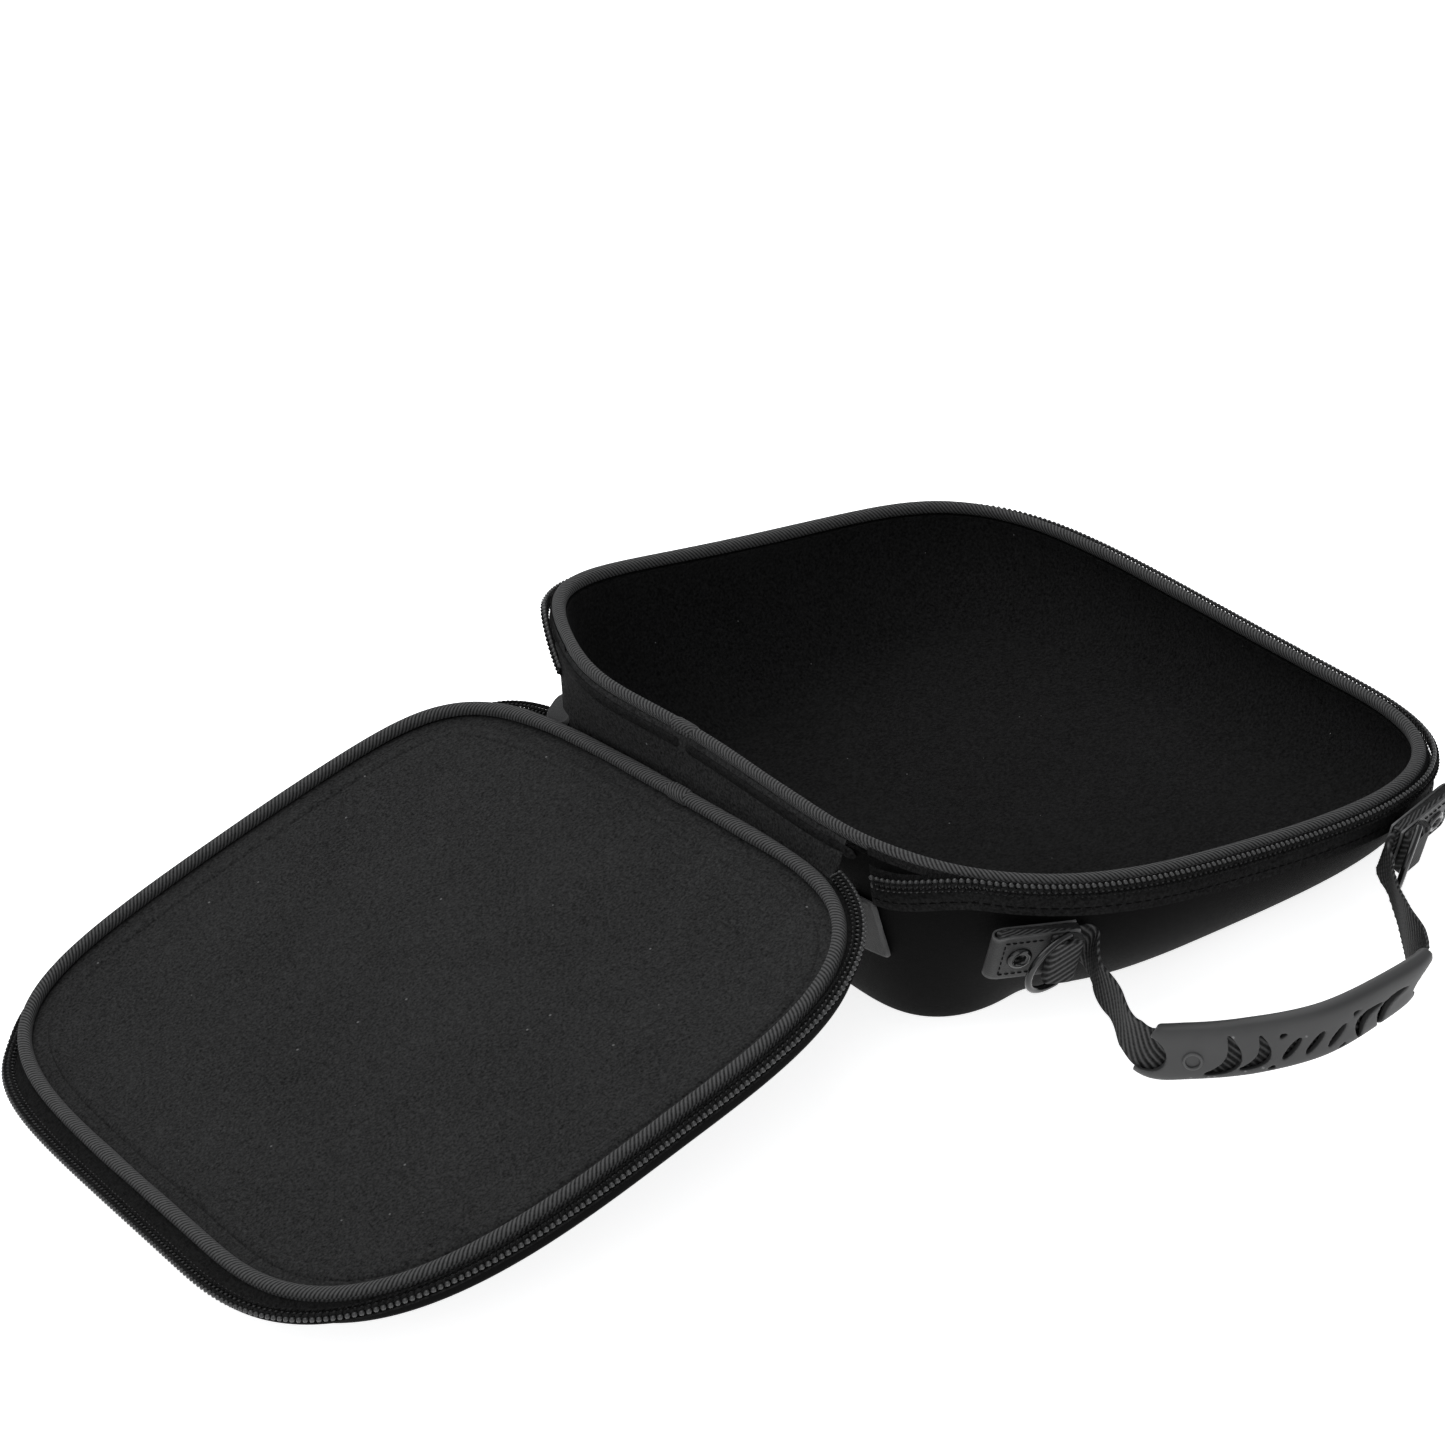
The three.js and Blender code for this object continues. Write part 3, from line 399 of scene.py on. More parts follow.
def ribbed(name, tones, pitch, slant, sharp, depth, roughness, sheen=0.0):
    made = Finish(name, roughness, 0.06, sheen)
    speckle = made.effect(SPECKLE, Fine=1000.0, Lint=0.0)
    ribs = made.effect(RIBS, Pitch=pitch, Slant=slant, Sharp=sharp)
    fibre = calc(made.tree, "MULTIPLY", speckle["Fibre"], 1 - PAINTED_RIB_SHADE_SHARE)
    painted_rib_shade_and_fibre = calc(made.tree, "MULTIPLY_ADD", ribs["Height"], PAINTED_RIB_SHADE_SHARE, fibre)
    # The colour is lighter on each rib and darker between ribs: painted light and shade, with the fibre's
    # speckle.
    made.tones(grey(tones[0]), grey(tones[1]), painted_rib_shade_and_fibre)
    made.relief(ribs["Height"], depth)
    made.relief(speckle["Fibre"], depth * 0.5)
    return made.material


BINDING = ribbed("binding_cloth", (0.001, 0.082), 1.4, 0.6, 1.0, 0.12, 0.85, sheen=0.02)
WEBBING = ribbed("webbing", (0.0004, 0.075), TWILL_PITCH, TWILL_SLANT, 2.0, 0.12, 0.6)
print("ribbed cloths:", BINDING.name, WEBBING.name)

# %% [markdown]
# Patches and tabs are imitation leather: a fine pressed grain, and a paler edge where it is worn.
# The grip is moulded rubber, which has the same pale edges but hardly any grain. Coil, snaps and
# rings are smooth, so faint smears in tone and gloss are all that tells them from plain plastic.


# %% Mix leatherette, rubber and gloss
def leatherette():
    made = Finish("leatherette", 0.5, 0.3, coat=0.04)
    grain = made.effect(GRAIN, Cell=1100.0)
    worn = made.effect(WEAR, Start=0.53, Reach=0.05)
    base = made.tones(grey(0.009), grey(0.016), solid_noise(made.tree, 90.0, 4.0))
    made.tones(base, grey(0.13), worn["Worn"])
    made.relief(grain["Height"], 0.05)
    made.uneven(0.42, 0.6, solid_noise(made.tree, 300.0))
    return made.material


def grip_rubber():
    made = Finish("grip_rubber", 0.55, 0.3)
    worn = made.effect(WEAR, Start=0.53, Reach=0.06)
    base = made.tones(grey(0.026), grey(0.038), solid_noise(made.tree, 60.0, 4.0))
    made.tones(base, grey(0.12), worn["Worn"])
    made.relief(solid_noise(made.tree, 2200.0), 0.03)
    made.uneven(0.42, 0.56, solid_noise(made.tree, 140.0))
    return made.material


def plain_gloss(name, tone, roughness, metallic, noise_scale, coat=0.0):
    made = Finish(name, roughness, 0.35, metallic=metallic, coat=coat)
    smears = solid_noise(made.tree, noise_scale, 4.0)
    made.tones(grey(tone * 0.8), grey(tone * 1.3), smears)
    made.uneven(roughness * 0.8, roughness * 1.4, smears)
    return made.material


LEATHER, RUBBER = leatherette(), grip_rubber()
# One nylon coil in two tones: the heads' lighter tone is a painted highlight, the legs' darker tone is
# painted shade under their thread.
COIL_HEADS_PAINTED_HIGHLIGHT = plain_gloss("zipper_coil", 0.03, 0.3, 0.0, 500.0)
COIL_LEGS_PAINTED_SHADE = plain_gloss("zipper_legs_painted_shade", 0.006, 0.45, 0.0, 500.0)
METAL = plain_gloss("ring_metal", 0.004, 0.12, 0.0, 150.0, coat=0.15)
print("smooth finishes:", [made.name for made in (LEATHER, RUBBER, COIL_HEADS_PAINTED_HIGHLIGHT, COIL_LEGS_PAINTED_SHADE, METAL)])

# %% Paint the floor
FLOOR_GLOW = 0.8  # the floor glows a little, as a lit acrylic table does, so shadows stay pale


def floor_finish():
    made = Finish("floor_paint", 0.75, 0.2)
    made.tones((0.88, 0.88, 0.88), (0.92, 0.92, 0.92), solid_noise(made.tree, 1.5))
    made.shader.inputs["Emission Color"].default_value = (1, 1, 1, 1)
    made.shader.inputs["Emission Strength"].default_value = FLOOR_GLOW
    return made.material


floor_mesh.materials.append(floor_finish())
print("materials:", sorted(m.name for m in bpy.data.materials if m.use_nodes))

# %% [markdown]
# ## Meshes from grids
#
# Nearly all of this case is a section carried along a line: the wall, the lid's edge, the
# binding, the tapes, the strap. So one function turns a grid of points into a mesh. Rows follow
# the section and columns follow the run. It closes the run into a ring, closes the section into a
# tube, or caps the open ends, and it writes the "run" map in millimetres.


# %% Add a piece
def add_object(name, mesh, material, slot, *nodes):
    mesh.materials.clear()
    mesh.materials.append(material)
    made = bpy.data.objects.new(name, mesh)
    bpy.context.scene.collection.objects.link(made)
    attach(made, "root")
    if nodes:
        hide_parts(*nodes)
    print(f"{name}: {len(mesh.polygons)} faces")
    return made


# %% Turn a grid of points into a mesh
def distances(grid, axis):
    steps = np.linalg.norm(np.diff(grid, axis=axis), axis=2).mean(axis=1 - axis)
    return np.concatenate([[0], np.cumsum(steps)])


def grid_mesh(name, grid, ring=False, tube=True, caps=True, plan=None, sharp=50):
    """Rows are the section, columns the run. plan gives a map of its own, one pair for each point."""
    grid = np.asarray(grid, float)
    rows, cols = grid.shape[:2]
    points = [tuple(p) for p in (grid.reshape(-1, 3) * MM)]
    down, right = (rows if tube else rows - 1), (cols if ring else cols - 1)
    faces = [
        (r * cols + c, r * cols + (c + 1) % cols,
         (r + 1) % rows * cols + (c + 1) % cols, (r + 1) % rows * cols + c)
        for r in range(down) for c in range(right)
    ]
    closed = np.concatenate([grid, grid[:, :1]], axis=1) if ring else grid
    closed = np.concatenate([closed, closed[:1]], axis=0) if tube else closed
    along, across = distances(closed, 1), distances(closed, 0)
    flat = [(along[c + dc], across[r + dr]) for r in range(down) for c in range(right)
            for dr, dc in ((0, 0), (0, 1), (1, 1), (1, 0))]
    if plan is not None:
        pairs = np.asarray(plan, float).reshape(-1, 2)
        flat = [tuple(pairs[i]) for face in faces for i in face]
    if caps and tube and not ring:
        for c in (0, cols - 1):
            faces.append(tuple(r * cols + c for r in range(rows)))
            flat += [(along[c], across[r]) for r in range(rows)]
    if caps and ring and not tube:
        for r in (0, rows - 1):
            hub = len(points)
            points.append(tuple(grid[r].mean(axis=0) * MM))
            for c in range(cols):
                faces.append((hub, r * cols + c, r * cols + (c + 1) % cols))
                places = (grid[r].mean(axis=0), grid[r][c], grid[r][(c + 1) % cols])
                flat += [(p[0], p[1]) for p in places]
    mesh = bpy.data.meshes.new(name)
    mesh.from_pydata(points, [], faces)
    chart = mesh.uv_layers.new(name="run")
    chart.data.foreach_set("uv", np.asarray(flat, np.float32).ravel())
    return tidy_normals(mesh, sharp)


def add_grid(name, rows, material, slot, *nodes, **how):
    """A piece from a grid of points, in one step."""
    return add_object(name, grid_mesh(name, rows, **how), material, slot, *nodes)


def tidy_normals(mesh, sharp=50):
    work = bmesh.new()
    work.from_mesh(mesh)
    bmesh.ops.recalc_face_normals(work, faces=work.faces)
    work.to_mesh(mesh)
    work.free()
    mesh.shade_smooth()
    mesh.set_sharp_from_angle(angle=math.radians(sharp))
    return mesh


print("grid_mesh, add_grid and tidy_normals are ready")


# %% Soften steps and surfaces
def smoothstep(x, low, high):
    t = np.clip((x - low) / (high - low), 0, 1)
    return t * t * (3 - 2 * t)


def soft_noise(points, size, seed):
    """A smooth field from -1 to 1, from a few sine waves in fixed random directions."""
    draw = np.random.default_rng(seed)
    total = np.zeros(np.asarray(points).shape[:-1])
    for _ in range(7):
        wave = draw.normal(size=3) / size
        total += np.sin(points @ wave * 2.2 + draw.uniform(0, 6.3))
    return total / 4


print("smoothstep and soft_noise are ready")

# %% [markdown]
# ## The rim's outline
#
# Both halves share one plan: four superellipse quarters that meet where the case is widest, so
# each corner has its own roundness. The base's hinge side also bulges a little, because the foam
# there is pulled by the sewn strip. Seen from the side the rim slopes from the hinge down to the
# far side, and each of its four sides sags between the corners.

# %% Sizes of the case, in millimetres
CASE_WIDTH = 237
CASE_LENGTH = 299
RIM_HEIGHT_HINGE = 84
RIM_HEIGHT_FAR = 33
RIM_RISE_TO_BACK = 14
RIM_DIP_ACROSS = 4.7
RIM_DIP_ALONG = 3.2
WALL = 6
FLOOR = 5
CLEARANCE = 0.3
WIDEST_ACROSS = 0.458
WIDEST_ALONG = -0.165
BASE_SQUARENESS = {"backHinge": 5, "backFar": 5.1, "frontHinge": 2.8, "frontFar": 3.6}
LID_SQUARENESS = {"backHinge": 6.3, "backFar": 5.3, "frontHinge": 3.05, "frontFar": 2.8}
BULGE_OUT, BULGE_AT, BULGE_SPREAD, BULGE_DEPTH = 8, 0.22, 0.13, 18
RIM_TILT = math.asin((RIM_HEIGHT_HINGE - RIM_HEIGHT_FAR) / CASE_WIDTH)
RIM_HALF = CASE_WIDTH / 2 * math.cos(RIM_TILT)
print("rim tilt", round(math.degrees(RIM_TILT), 2), "degrees")


# %% Draw the outline
def outline(squareness, bulge_out, count):
    """Evenly spaced points from the middle of the hinge side, by the front, with outward normals."""
    dense = 1440
    angle = math.pi + np.arange(dense + 1) / dense * 2 * math.pi
    c, s = np.cos(angle), np.sin(angle)
    widest_u, widest_v = WIDEST_ACROSS * CASE_WIDTH, WIDEST_ALONG * CASE_LENGTH
    reach_u = np.where(c > 0, CASE_WIDTH - widest_u, widest_u)
    reach_v = np.where(s > 0, CASE_LENGTH / 2 - widest_v, CASE_LENGTH / 2 + widest_v)
    front = np.where(c > 0, squareness["frontFar"], squareness["frontHinge"])
    back = np.where(c > 0, squareness["backFar"], squareness["backHinge"])
    power = 2 / np.where(s > 0, back, front)
    u = widest_u + np.sign(c) * reach_u * np.abs(c) ** power
    v = widest_v + np.sign(s) * reach_v * np.abs(s) ** power
    near = np.exp(-(((v / CASE_LENGTH - BULGE_AT) / BULGE_SPREAD) ** 2))
    bulge = np.where(u < widest_u / 2, bulge_out * near, 0)
    u = u - bulge
    along = np.concatenate([[0], np.cumsum(np.hypot(np.diff(u), np.diff(v)))])

    def at(share):
        want = np.mod(share, 1) * along[-1]
        return np.interp(want, along, u), np.interp(want, along, v), np.interp(want, along, bulge)

    shares = np.arange(count) / count
    half = 0.5 / max(count, 64)
    here, before, after = at(shares), at(shares - half), at(shares + half)
    du, dv = after[0] - before[0], after[1] - before[1]
    run = np.hypot(du, dv)
    return {"u": here[0], "v": here[1], "bulge": here[2], "nu": dv / run, "nv": -du / run,
            "s": shares * along[-1], "length": along[-1]}


def pick(rim, keep):
    return {key: value if np.isscalar(value) else value[keep] for key, value in rim.items()}


RIM_COUNT = 480
BASE_RIM = outline(BASE_SQUARENESS, BULGE_OUT, RIM_COUNT)
LID_RIM = outline(LID_SQUARENESS, 0, RIM_COUNT)
print("rim lengths", round(BASE_RIM["length"]), round(LID_RIM["length"]), "mm")


# %% Place points on the base and on the lid
def rim_dip(u, v):
    across = (u - CASE_WIDTH / 2) / (CASE_WIDTH / 2)
    along = v / (CASE_LENGTH / 2)
    return -RIM_DIP_ACROSS * (1 - across**2) - RIM_DIP_ALONG * (1 - along**2)


def base_point(rim, out, up):
    """Out from the binding's middle line and up from it."""
    u = rim["u"] + rim["nu"] * out
    v = rim["v"] + rim["nv"] * out
    level = RIM_HEIGHT_HINGE + (RIM_HEIGHT_FAR - RIM_HEIGHT_HINGE) * u / CASE_WIDTH
    rise = RIM_DIP_ALONG + RIM_RISE_TO_BACK * v / CASE_LENGTH + rim_dip(rim["u"], rim["v"])
    x = (u - CASE_WIDTH / 2) * math.cos(RIM_TILT)
    return np.stack([x, v + 0 * x, level + rise + up], -1)


LID_SLOPE, LID_ROLL, LID_HINGE_GAP, LID_SHIFT = 10.8, -3.4, 12.3, 10


def turn(axis, degrees):
    return np.array(Matrix.Rotation(math.radians(degrees), 3, axis))


LID_TURN = turn("X", LID_ROLL) @ turn("Y", -LID_SLOPE)
LID_PLACE = np.array([-RIM_HALF - LID_HINGE_GAP, LID_SHIFT, 0.0])
BINDING_RADIUS = 2.6


def lid_point(rim, out, up):
    flat = [-(rim["u"] + rim["nu"] * out), rim["v"] + rim["nv"] * out, up - rim_dip(rim["u"], rim["v"])]
    return np.stack(np.broadcast_arrays(*flat), -1) @ LID_TURN.T + LID_PLACE


LID_PLACE[2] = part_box("lid_binding")[0].z / MM - (lid_point(LID_RIM, 0, 0)[:, 2].min() - BINDING_RADIUS)
print("the lid's hinge side stands", round(LID_PLACE[2], 2), "mm up")

# %% [markdown]
# ## The base's wall
#
# The base is moulded foam with cloth laminated outside and a brushed lining inside. It is one
# bowl: its wall leaves the rim nearly upright and turns under more and more, like a quarter of a
# squashed circle, to a flat bottom. Outer cloth and lining are separate closed skins, each half
# the wall thick, so each can have its own finish and both are real solids.

# %% The wall's own sizes
SET_IN = 8
DRAFT = {"hinge": 0.06, "far": 0.5, "front": 0.6, "back": 0.34}
CORNER_DRAFT = 0.16
WALL_FULLNESS = 1.5
LIP_TOP = -(BINDING_RADIUS + CLEARANCE)
LIP_OUT = WALL / 2 + CLEARANCE
LIP_IN = LIP_OUT - WALL
TAPE_IN = LIP_OUT + CLEARANCE


# %% Make the wall
def wall_point(rim, out, bottom, turned):
    """turned runs from 0 at the rim to 1 at the underside."""
    a = turned * math.pi / 2
    lip = base_point(rim, out, LIP_TOP)
    height = lip[..., 2] - bottom
    across = np.where(rim["nu"] > 0, DRAFT["far"], DRAFT["hinge"]) * rim["nu"] ** 2
    along = np.where(rim["nv"] > 0, DRAFT["back"], DRAFT["front"]) * rim["nv"] ** 2
    drop = height * np.sin(a)
    at_corner = (rim["nu"] < 0) & (rim["nv"] < 0)
    corner = np.where(at_corner, CORNER_DRAFT * (2 * rim["nu"] * rim["nv"]) ** 2, 0)
    inset = (SET_IN + height * (across + along + corner)) * (1 - np.cos(a) ** WALL_FULLNESS)
    point = base_point(rim, out - inset - rim["bulge"] * smoothstep(drop, 0, BULGE_DEPTH), 0)
    point[..., 2] = lip[..., 2] - drop
    return point


def bowl(out, bottom, steps):
    shares = np.linspace(0, 1, steps) ** 0.9
    return [wall_point(BASE_RIM, out, bottom, share) for share in shares]


HALF_WALL = WALL / 2 - 0.1
WALL_ROWS, CORE_ROWS = 30, 12
DENT_SIZE, DENT_DEPTH, DENTS_FROM, DENTS_FULL = 90, 0.35, 4, 22  # the last two up from the underside
outside = bowl(LIP_OUT, 0, WALL_ROWS)
core = bowl(LIP_OUT - HALF_WALL, HALF_WALL - 0.4, CORE_ROWS)
rows = np.array(outside[::-1] + core)
dents = soft_noise(rows, DENT_SIZE, 3)[..., None] * np.array([DENT_DEPTH, DENT_DEPTH, 0])
fade = smoothstep(rows[1:WALL_ROWS, :, 2:], DENTS_FROM, DENTS_FULL)
rows[1:WALL_ROWS] += dents[1:WALL_ROWS] * fade
BASE_WALL = add_grid("base_wall", rows, SHELL, "shell_cloth", "base_shell", ring=True, tube=False)

inside = bowl(LIP_IN, FLOOR, WALL_ROWS)
backing = bowl(LIP_IN + HALF_WALL, FLOOR - 2, CORE_ROWS)
rows = np.array(backing[::-1] + inside)
# The darker copy of the lining: painted shade inside the bowl.
add_grid("base_lining", rows, INNER_LINING_PAINTED_SHADE, "lining_cloth", "base_shell", ring=True, tube=False)

# %% [markdown]
# ## The lid
#
# The lid is a shallow tray. Just inside its binding lies a flat seam band, sewn down by one row
# of stitches, and from there the padding rolls softly down to a wide plain field. The section is
# written as pairs of out and up, dense where it bends. The field is filled with shrinking rings,
# so the panel can swell slightly and carry an even cloth map instead of a fan's.

# %% The lid's section
LID_BAND, LID_STEP, LID_RECESS, LID_WALL, LID_DOME = 12.5, 7, 8, 8, 4
STITCH_IN = 4.6  # stitches inside the binding's inner edge
GROOVE_DEEP, GROOVE_WIDE = 0.75, 0.8  # pressed in by the stitches
GUTTER_DEEP, GUTTER_WIDE, GUTTER_IN = 1.5, 0.9, 0.3  # where the band meets the binding
BAND_LIFT, BAND_PUFF, STEP_EASE = 0.5, 0.9, 2.5
BAND_EDGE = LIP_IN - LID_BAND
LID_BACK = LIP_TOP - LID_WALL


def bell(distance, wide):
    return math.exp(-((distance / wide) ** 2))


def band_height(out):
    """Up of the lining at a place of the band and the step."""
    groove = GROOVE_DEEP * bell(out - (LIP_IN - STITCH_IN), GROOVE_WIDE)
    gutter = GUTTER_DEEP * bell(out - (LIP_IN - GUTTER_IN), GUTTER_WIDE)
    puff = BAND_PUFF * math.sin(math.pi * min(1, max(0, (out - BAND_EDGE) / (LID_BAND - STITCH_IN))))
    fall = LID_RECESS * float(smoothstep(BAND_EDGE + STEP_EASE - out, 0, LID_STEP + STEP_EASE))
    return LIP_TOP + BAND_LIFT + puff - groove - gutter - fall


def lid_ring(out, up):
    return lid_point(LID_RIM, out, up)


def shrunk(ring, share, swell):
    """A ring drawn in to its middle, lifted by swell."""
    middle = ring.mean(axis=0)
    moved = middle + (ring - middle) * share
    return moved + np.array([0, 0, swell])


# %% Make the lid's lining and its outside
BAND_ROWS, FIELD_STEPS, PANEL_STEPS = 64, 26, 14
HUB_SHARE = 0.04  # size of the last ring before the middle
LINING_THICK, FIELD_SWELL = 2.2, 0.9
WAVE_SIZE, WAVE_DEPTH = 70, 0.18  # the padding is never quite flat
LID_UP = LID_TURN[:, 2]


def add_lid_skin(name, rows, material, slot):
    """A closed skin of the lid, mapped flat in the lid's own plane."""
    local = (rows - LID_PLACE) @ LID_TURN
    made = add_grid(name, rows, material, slot, "lid_shell", ring=True, tube=False, plan=local[..., :2])


outs = np.linspace(LIP_IN + 1.5, BAND_EDGE - LID_STEP, BAND_ROWS)
rings = [lid_ring(out, band_height(out)) for out in outs]
edge = rings[-1]
shares = np.linspace(1, HUB_SHARE, FIELD_STEPS)[1:]
rings += [shrunk(edge, share, -FIELD_SWELL * (1 - share**2)) for share in shares]
under = [ring - LID_UP * LINING_THICK for ring in rings[::-1][::3]]
rows = np.array(rings + under)
rows[: len(rings)] += (soft_noise(rows[: len(rings)], WAVE_SIZE, 8) * WAVE_DEPTH)[..., None] * LID_UP
add_lid_skin("lid_lining", rows, LINING, "lining_cloth")

back = [(LIP_IN + 1.2, LIP_TOP - 2.6), (LIP_OUT - 0.6, LIP_TOP - 0.1), (LIP_OUT, LIP_TOP - 1),
        (LIP_OUT, LID_BACK + 1.8), (LIP_OUT - 0.6, LID_BACK + 0.6), (LIP_OUT - 2, LID_BACK)]
back += [(LIP_OUT - 2 - t * (LIP_OUT - 3 - BAND_EDGE), LID_BACK - LID_RECESS * 0.18 * t**1.5)
         for t in np.linspace(0.12, 1, 8)]
back += [(BAND_EDGE + 1 - t * (LID_STEP + 1),
          LID_BACK - LID_RECESS * (0.18 + 0.82 * float(smoothstep(t, 0, 1))) - LID_DOME * 0.4 * t)
         for t in np.linspace(0.12, 1, 9)]
outer = [lid_ring(out, up) for out, up in back]
panel = outer[-1]
shares = np.linspace(1, HUB_SHARE, PANEL_STEPS)[1:]
outer += [shrunk(panel, share, -LID_DOME * 0.6 * (1 - share**2)) for share in shares]
inward = [ring + LID_UP * 2.4 for ring in outer[::-1][: PANEL_STEPS + 8 : 2]]
rows = np.array(outer + inward)
rows[..., 2] = np.maximum(rows[..., 2], 0.0)
add_lid_skin("lid_outside", rows, SHELL, "shell_cloth")

# %% [markdown]
# ## Bindings
#
# A strip of ribbed tape wraps the raw edge of wall, lining and zipper. It reads as a flattened
# roll, 5 mm wide, a little uneven where it was pulled round the corners. Its two ends lap in the
# middle of the hinge side, where the upper layer stops with a small step. The lap is a second,
# short sleeve, slightly larger, because a real double layer catches the light along its edge.


# %% Wrap the rims
def oval(width, height, sides, power=1.0, centre=(0, 0)):
    angles = (np.arange(sides) + 0.5) / sides * 2 * math.pi
    c, s = np.cos(angles), np.sin(angles)
    return [(centre[0] + width / 2 * np.sign(a) * abs(a) ** power,
             centre[1] + height / 2 * np.sign(b) * abs(b) ** power) for a, b in zip(c, s)]


ROLL, LAP_ROLL = (5.2, 5.0, 20, 0.86), (6.1, 5.9, 18, 0.86)  # width, height, sides, squareness
PULL_SHARE, PULL_SIZE = 0.05, 26  # how unevenly the tape was pulled


def binding(name, rim, place, node, slack_seed):
    pull = 1 + PULL_SHARE * soft_noise(place(rim, 0, 0), PULL_SIZE, slack_seed)
    rows = [place(rim, out * pull, up * pull) for out, up in oval(*ROLL)]
    add_grid(name, rows, BINDING, "binding_cloth", node, ring=True)


def lap(name, rim, place, at, length):
    """A second layer of tape over a short stretch of the rim's hinge side."""
    hinge = (rim["u"] < CASE_WIDTH / 4) & (np.abs(rim["v"] - at) < length / 2)
    some = pick(rim, hinge)
    some = pick(some, np.argsort(some["v"]))
    ends = 1 - 0.13 * (np.abs(np.linspace(-1, 1, len(some["v"]))) > 0.97)
    rows = [place(some, out * ends, up * ends) for out, up in oval(*LAP_ROLL)]
    add_grid(name, rows, BINDING, "binding_cloth")


BASE_LAP_AT, LID_LAP_AT, LAP_LENGTH = 16, -2, 13
binding("base_rim_binding", BASE_RIM, base_point, "base_binding", 5)
lap("base_binding_lap", BASE_RIM, base_point, BASE_LAP_AT, LAP_LENGTH)
binding("lid_rim_binding", LID_RIM, lid_point, "lid_binding", 6)
lap("lid_binding_lap", LID_RIM, lid_point, LID_LAP_AT, LAP_LENGTH)

# %% [markdown]
# ## The zipper's two halves
#
# The zipper runs round both rims but for the hinge strip. On the base its tape stands against
# the wall, and towards its two ends it falls away from the rim. On the lid it lies flat and hangs
# loose, further out along the far side. A rim point of the zipper is an ordinary rim point with
# three more values: how far it has fallen, bowed out, and tucked under.

# %% The zipper's sizes and its two lines
HINGE_FRONT, HINGE_BACK = -0.3, 0.305
BASE_COIL_OUT, LID_COIL_OUT, COIL_DROP = 5.3, 6.8, 0.9
ZIPPER_END_DROP, ZIPPER_END_REACH = 11, 42
TAPE_TUCK, LID_TAPE_BOW, LID_TAPE_TUCK = 2.5, 3.6, 3
TUCK_DRAWS_IN, TUCK_DROPS = 0.8, 1.2  # where the tape tucks, as shares of the tuck


def zipper_line(rim):
    """The rim's points outside the hinge strip, from the strip's front end to its back end."""
    v = rim["v"] / CASE_LENGTH
    hinge = (rim["u"] < WIDEST_ACROSS * CASE_WIDTH * 0.5) & (v > HINGE_FRONT) & (v < HINGE_BACK)
    start = int(np.argmax(~hinge & np.roll(hinge, 1)))
    order = np.roll(np.arange(len(v)), -start)
    line = pick(rim, order[~hinge[order]])
    steps = np.hypot(np.diff(line["u"]), np.diff(line["v"]))
    line["s"] = np.concatenate([[0], np.cumsum(steps)])
    line["length"] = line["s"][-1]
    to_end = np.minimum(line["s"], line["length"] - line["s"])
    line["fall"] = (ZIPPER_END_DROP * (1 - smoothstep(to_end, 0, ZIPPER_END_REACH))
                    + TAPE_TUCK * np.maximum(0, line["nv"]) ** 2)
    line["bow"] = LID_TAPE_BOW * np.maximum(0, line["nu"]) ** 3
    line["tuck"] = LID_TAPE_TUCK * smoothstep(line["nv"], 0.05, 0.6)
    return line


def along_line(line, s):
    """The line's values at distances s."""
    return {key: value if np.isscalar(value) else np.interp(s, line["s"], value)
            for key, value in line.items()}


def fallen_point(line, out, up):
    return base_point(line, out, up - line["fall"])


def hanging_point(line, out, up):
    loose = out + line["bow"] - line["tuck"] * TUCK_DRAWS_IN
    moved = np.where(np.asarray(out) > TAPE_IN, loose, out)
    return lid_point(line, moved, up - line["tuck"] * TUCK_DROPS)


BASE_ZIP, LID_ZIP = zipper_line(BASE_RIM), zipper_line(LID_RIM)
print("zipper halves", round(BASE_ZIP["length"]), round(LID_ZIP["length"]), "mm long")

# %% Lay the tapes
BASE_TAPE = (  # whether it moves with the coil, out and up: down the inner side and up the outer
    (False, 2.0, -0.6), (True, 3.45, -2.2), (True, 3.5, -6.0), (True, 3.5, -11.7), (True, 4.6, -11.6),
    (True, 4.75, -9.4), (True, 4.55, -8.6), (True, 4.75, -7.8), (True, 4.6, -4.2), (True, 3.8, -3.5),
    (True, 3.8, -1.2), (False, 3.0, 0.4),
)
LID_TAPE = (
    (False, 2.0, -0.9), (False, 3.3, -1.7), (True, 3.7, -2.4), (True, 5.5, -2.6), (True, 7.8, -2.6),
    (True, 8.0, -3.2), (True, 5.5, -3.8), (True, 3.65, -3.7), (False, 2.4, -2.6),
)


def lay_tape(name, line, section, sewn, loose, node):
    rows = [(loose if moves else sewn)(line, out, up) for moves, out, up in section]
    add_grid(name, rows, TAPE, "zipper_tape", node, sharp=70)


lay_tape("base_tape", BASE_ZIP, BASE_TAPE, base_point, fallen_point, "base_zipper_tape")
lay_tape("lid_tape", LID_ZIP, LID_TAPE, lid_point, hanging_point, "lid_zipper_tape")

# %% [markdown]
# ## Teeth from one template
#
# A coil zipper is a nylon wire wound like a flattened spring and sewn to its tape. From the
# outside each turn reads as a rounded head with two legs. Head and legs are small tubes, each a
# template in its own terms: along the zipper, towards the heads, and through the thickness. Each
# copy is then bent onto the rim by sending its points through the zipper's own place function.

# %% Wind the coil
TOOTH_PITCH = 2.2
HEAD_STATIONS = (  # along, towards the head, through, radius
    (0.0, 0.75, 0.35, 0.45), (0.05, 1.05, 0.42, 0.72), (0.1, 1.55, 0.3, 0.84), (0.12, 1.95, 0.0, 0.7),
    (0.14, 2.15, -0.3, 0.4),
)
LEG_STATIONS = (
    (0.0, -2.4, 0.5, 0.42), (0.2, -1.2, 0.75, 0.5), (0.5, 0.2, 0.75, 0.5), (0.62, 1.1, 0.4, 0.5),
    (0.7, 1.5, 0.0, 0.5), (0.8, 1.1, -0.5, 0.45), (1.3, -2.4, -0.5, 0.4),
)
TUBE_SIDES = 7


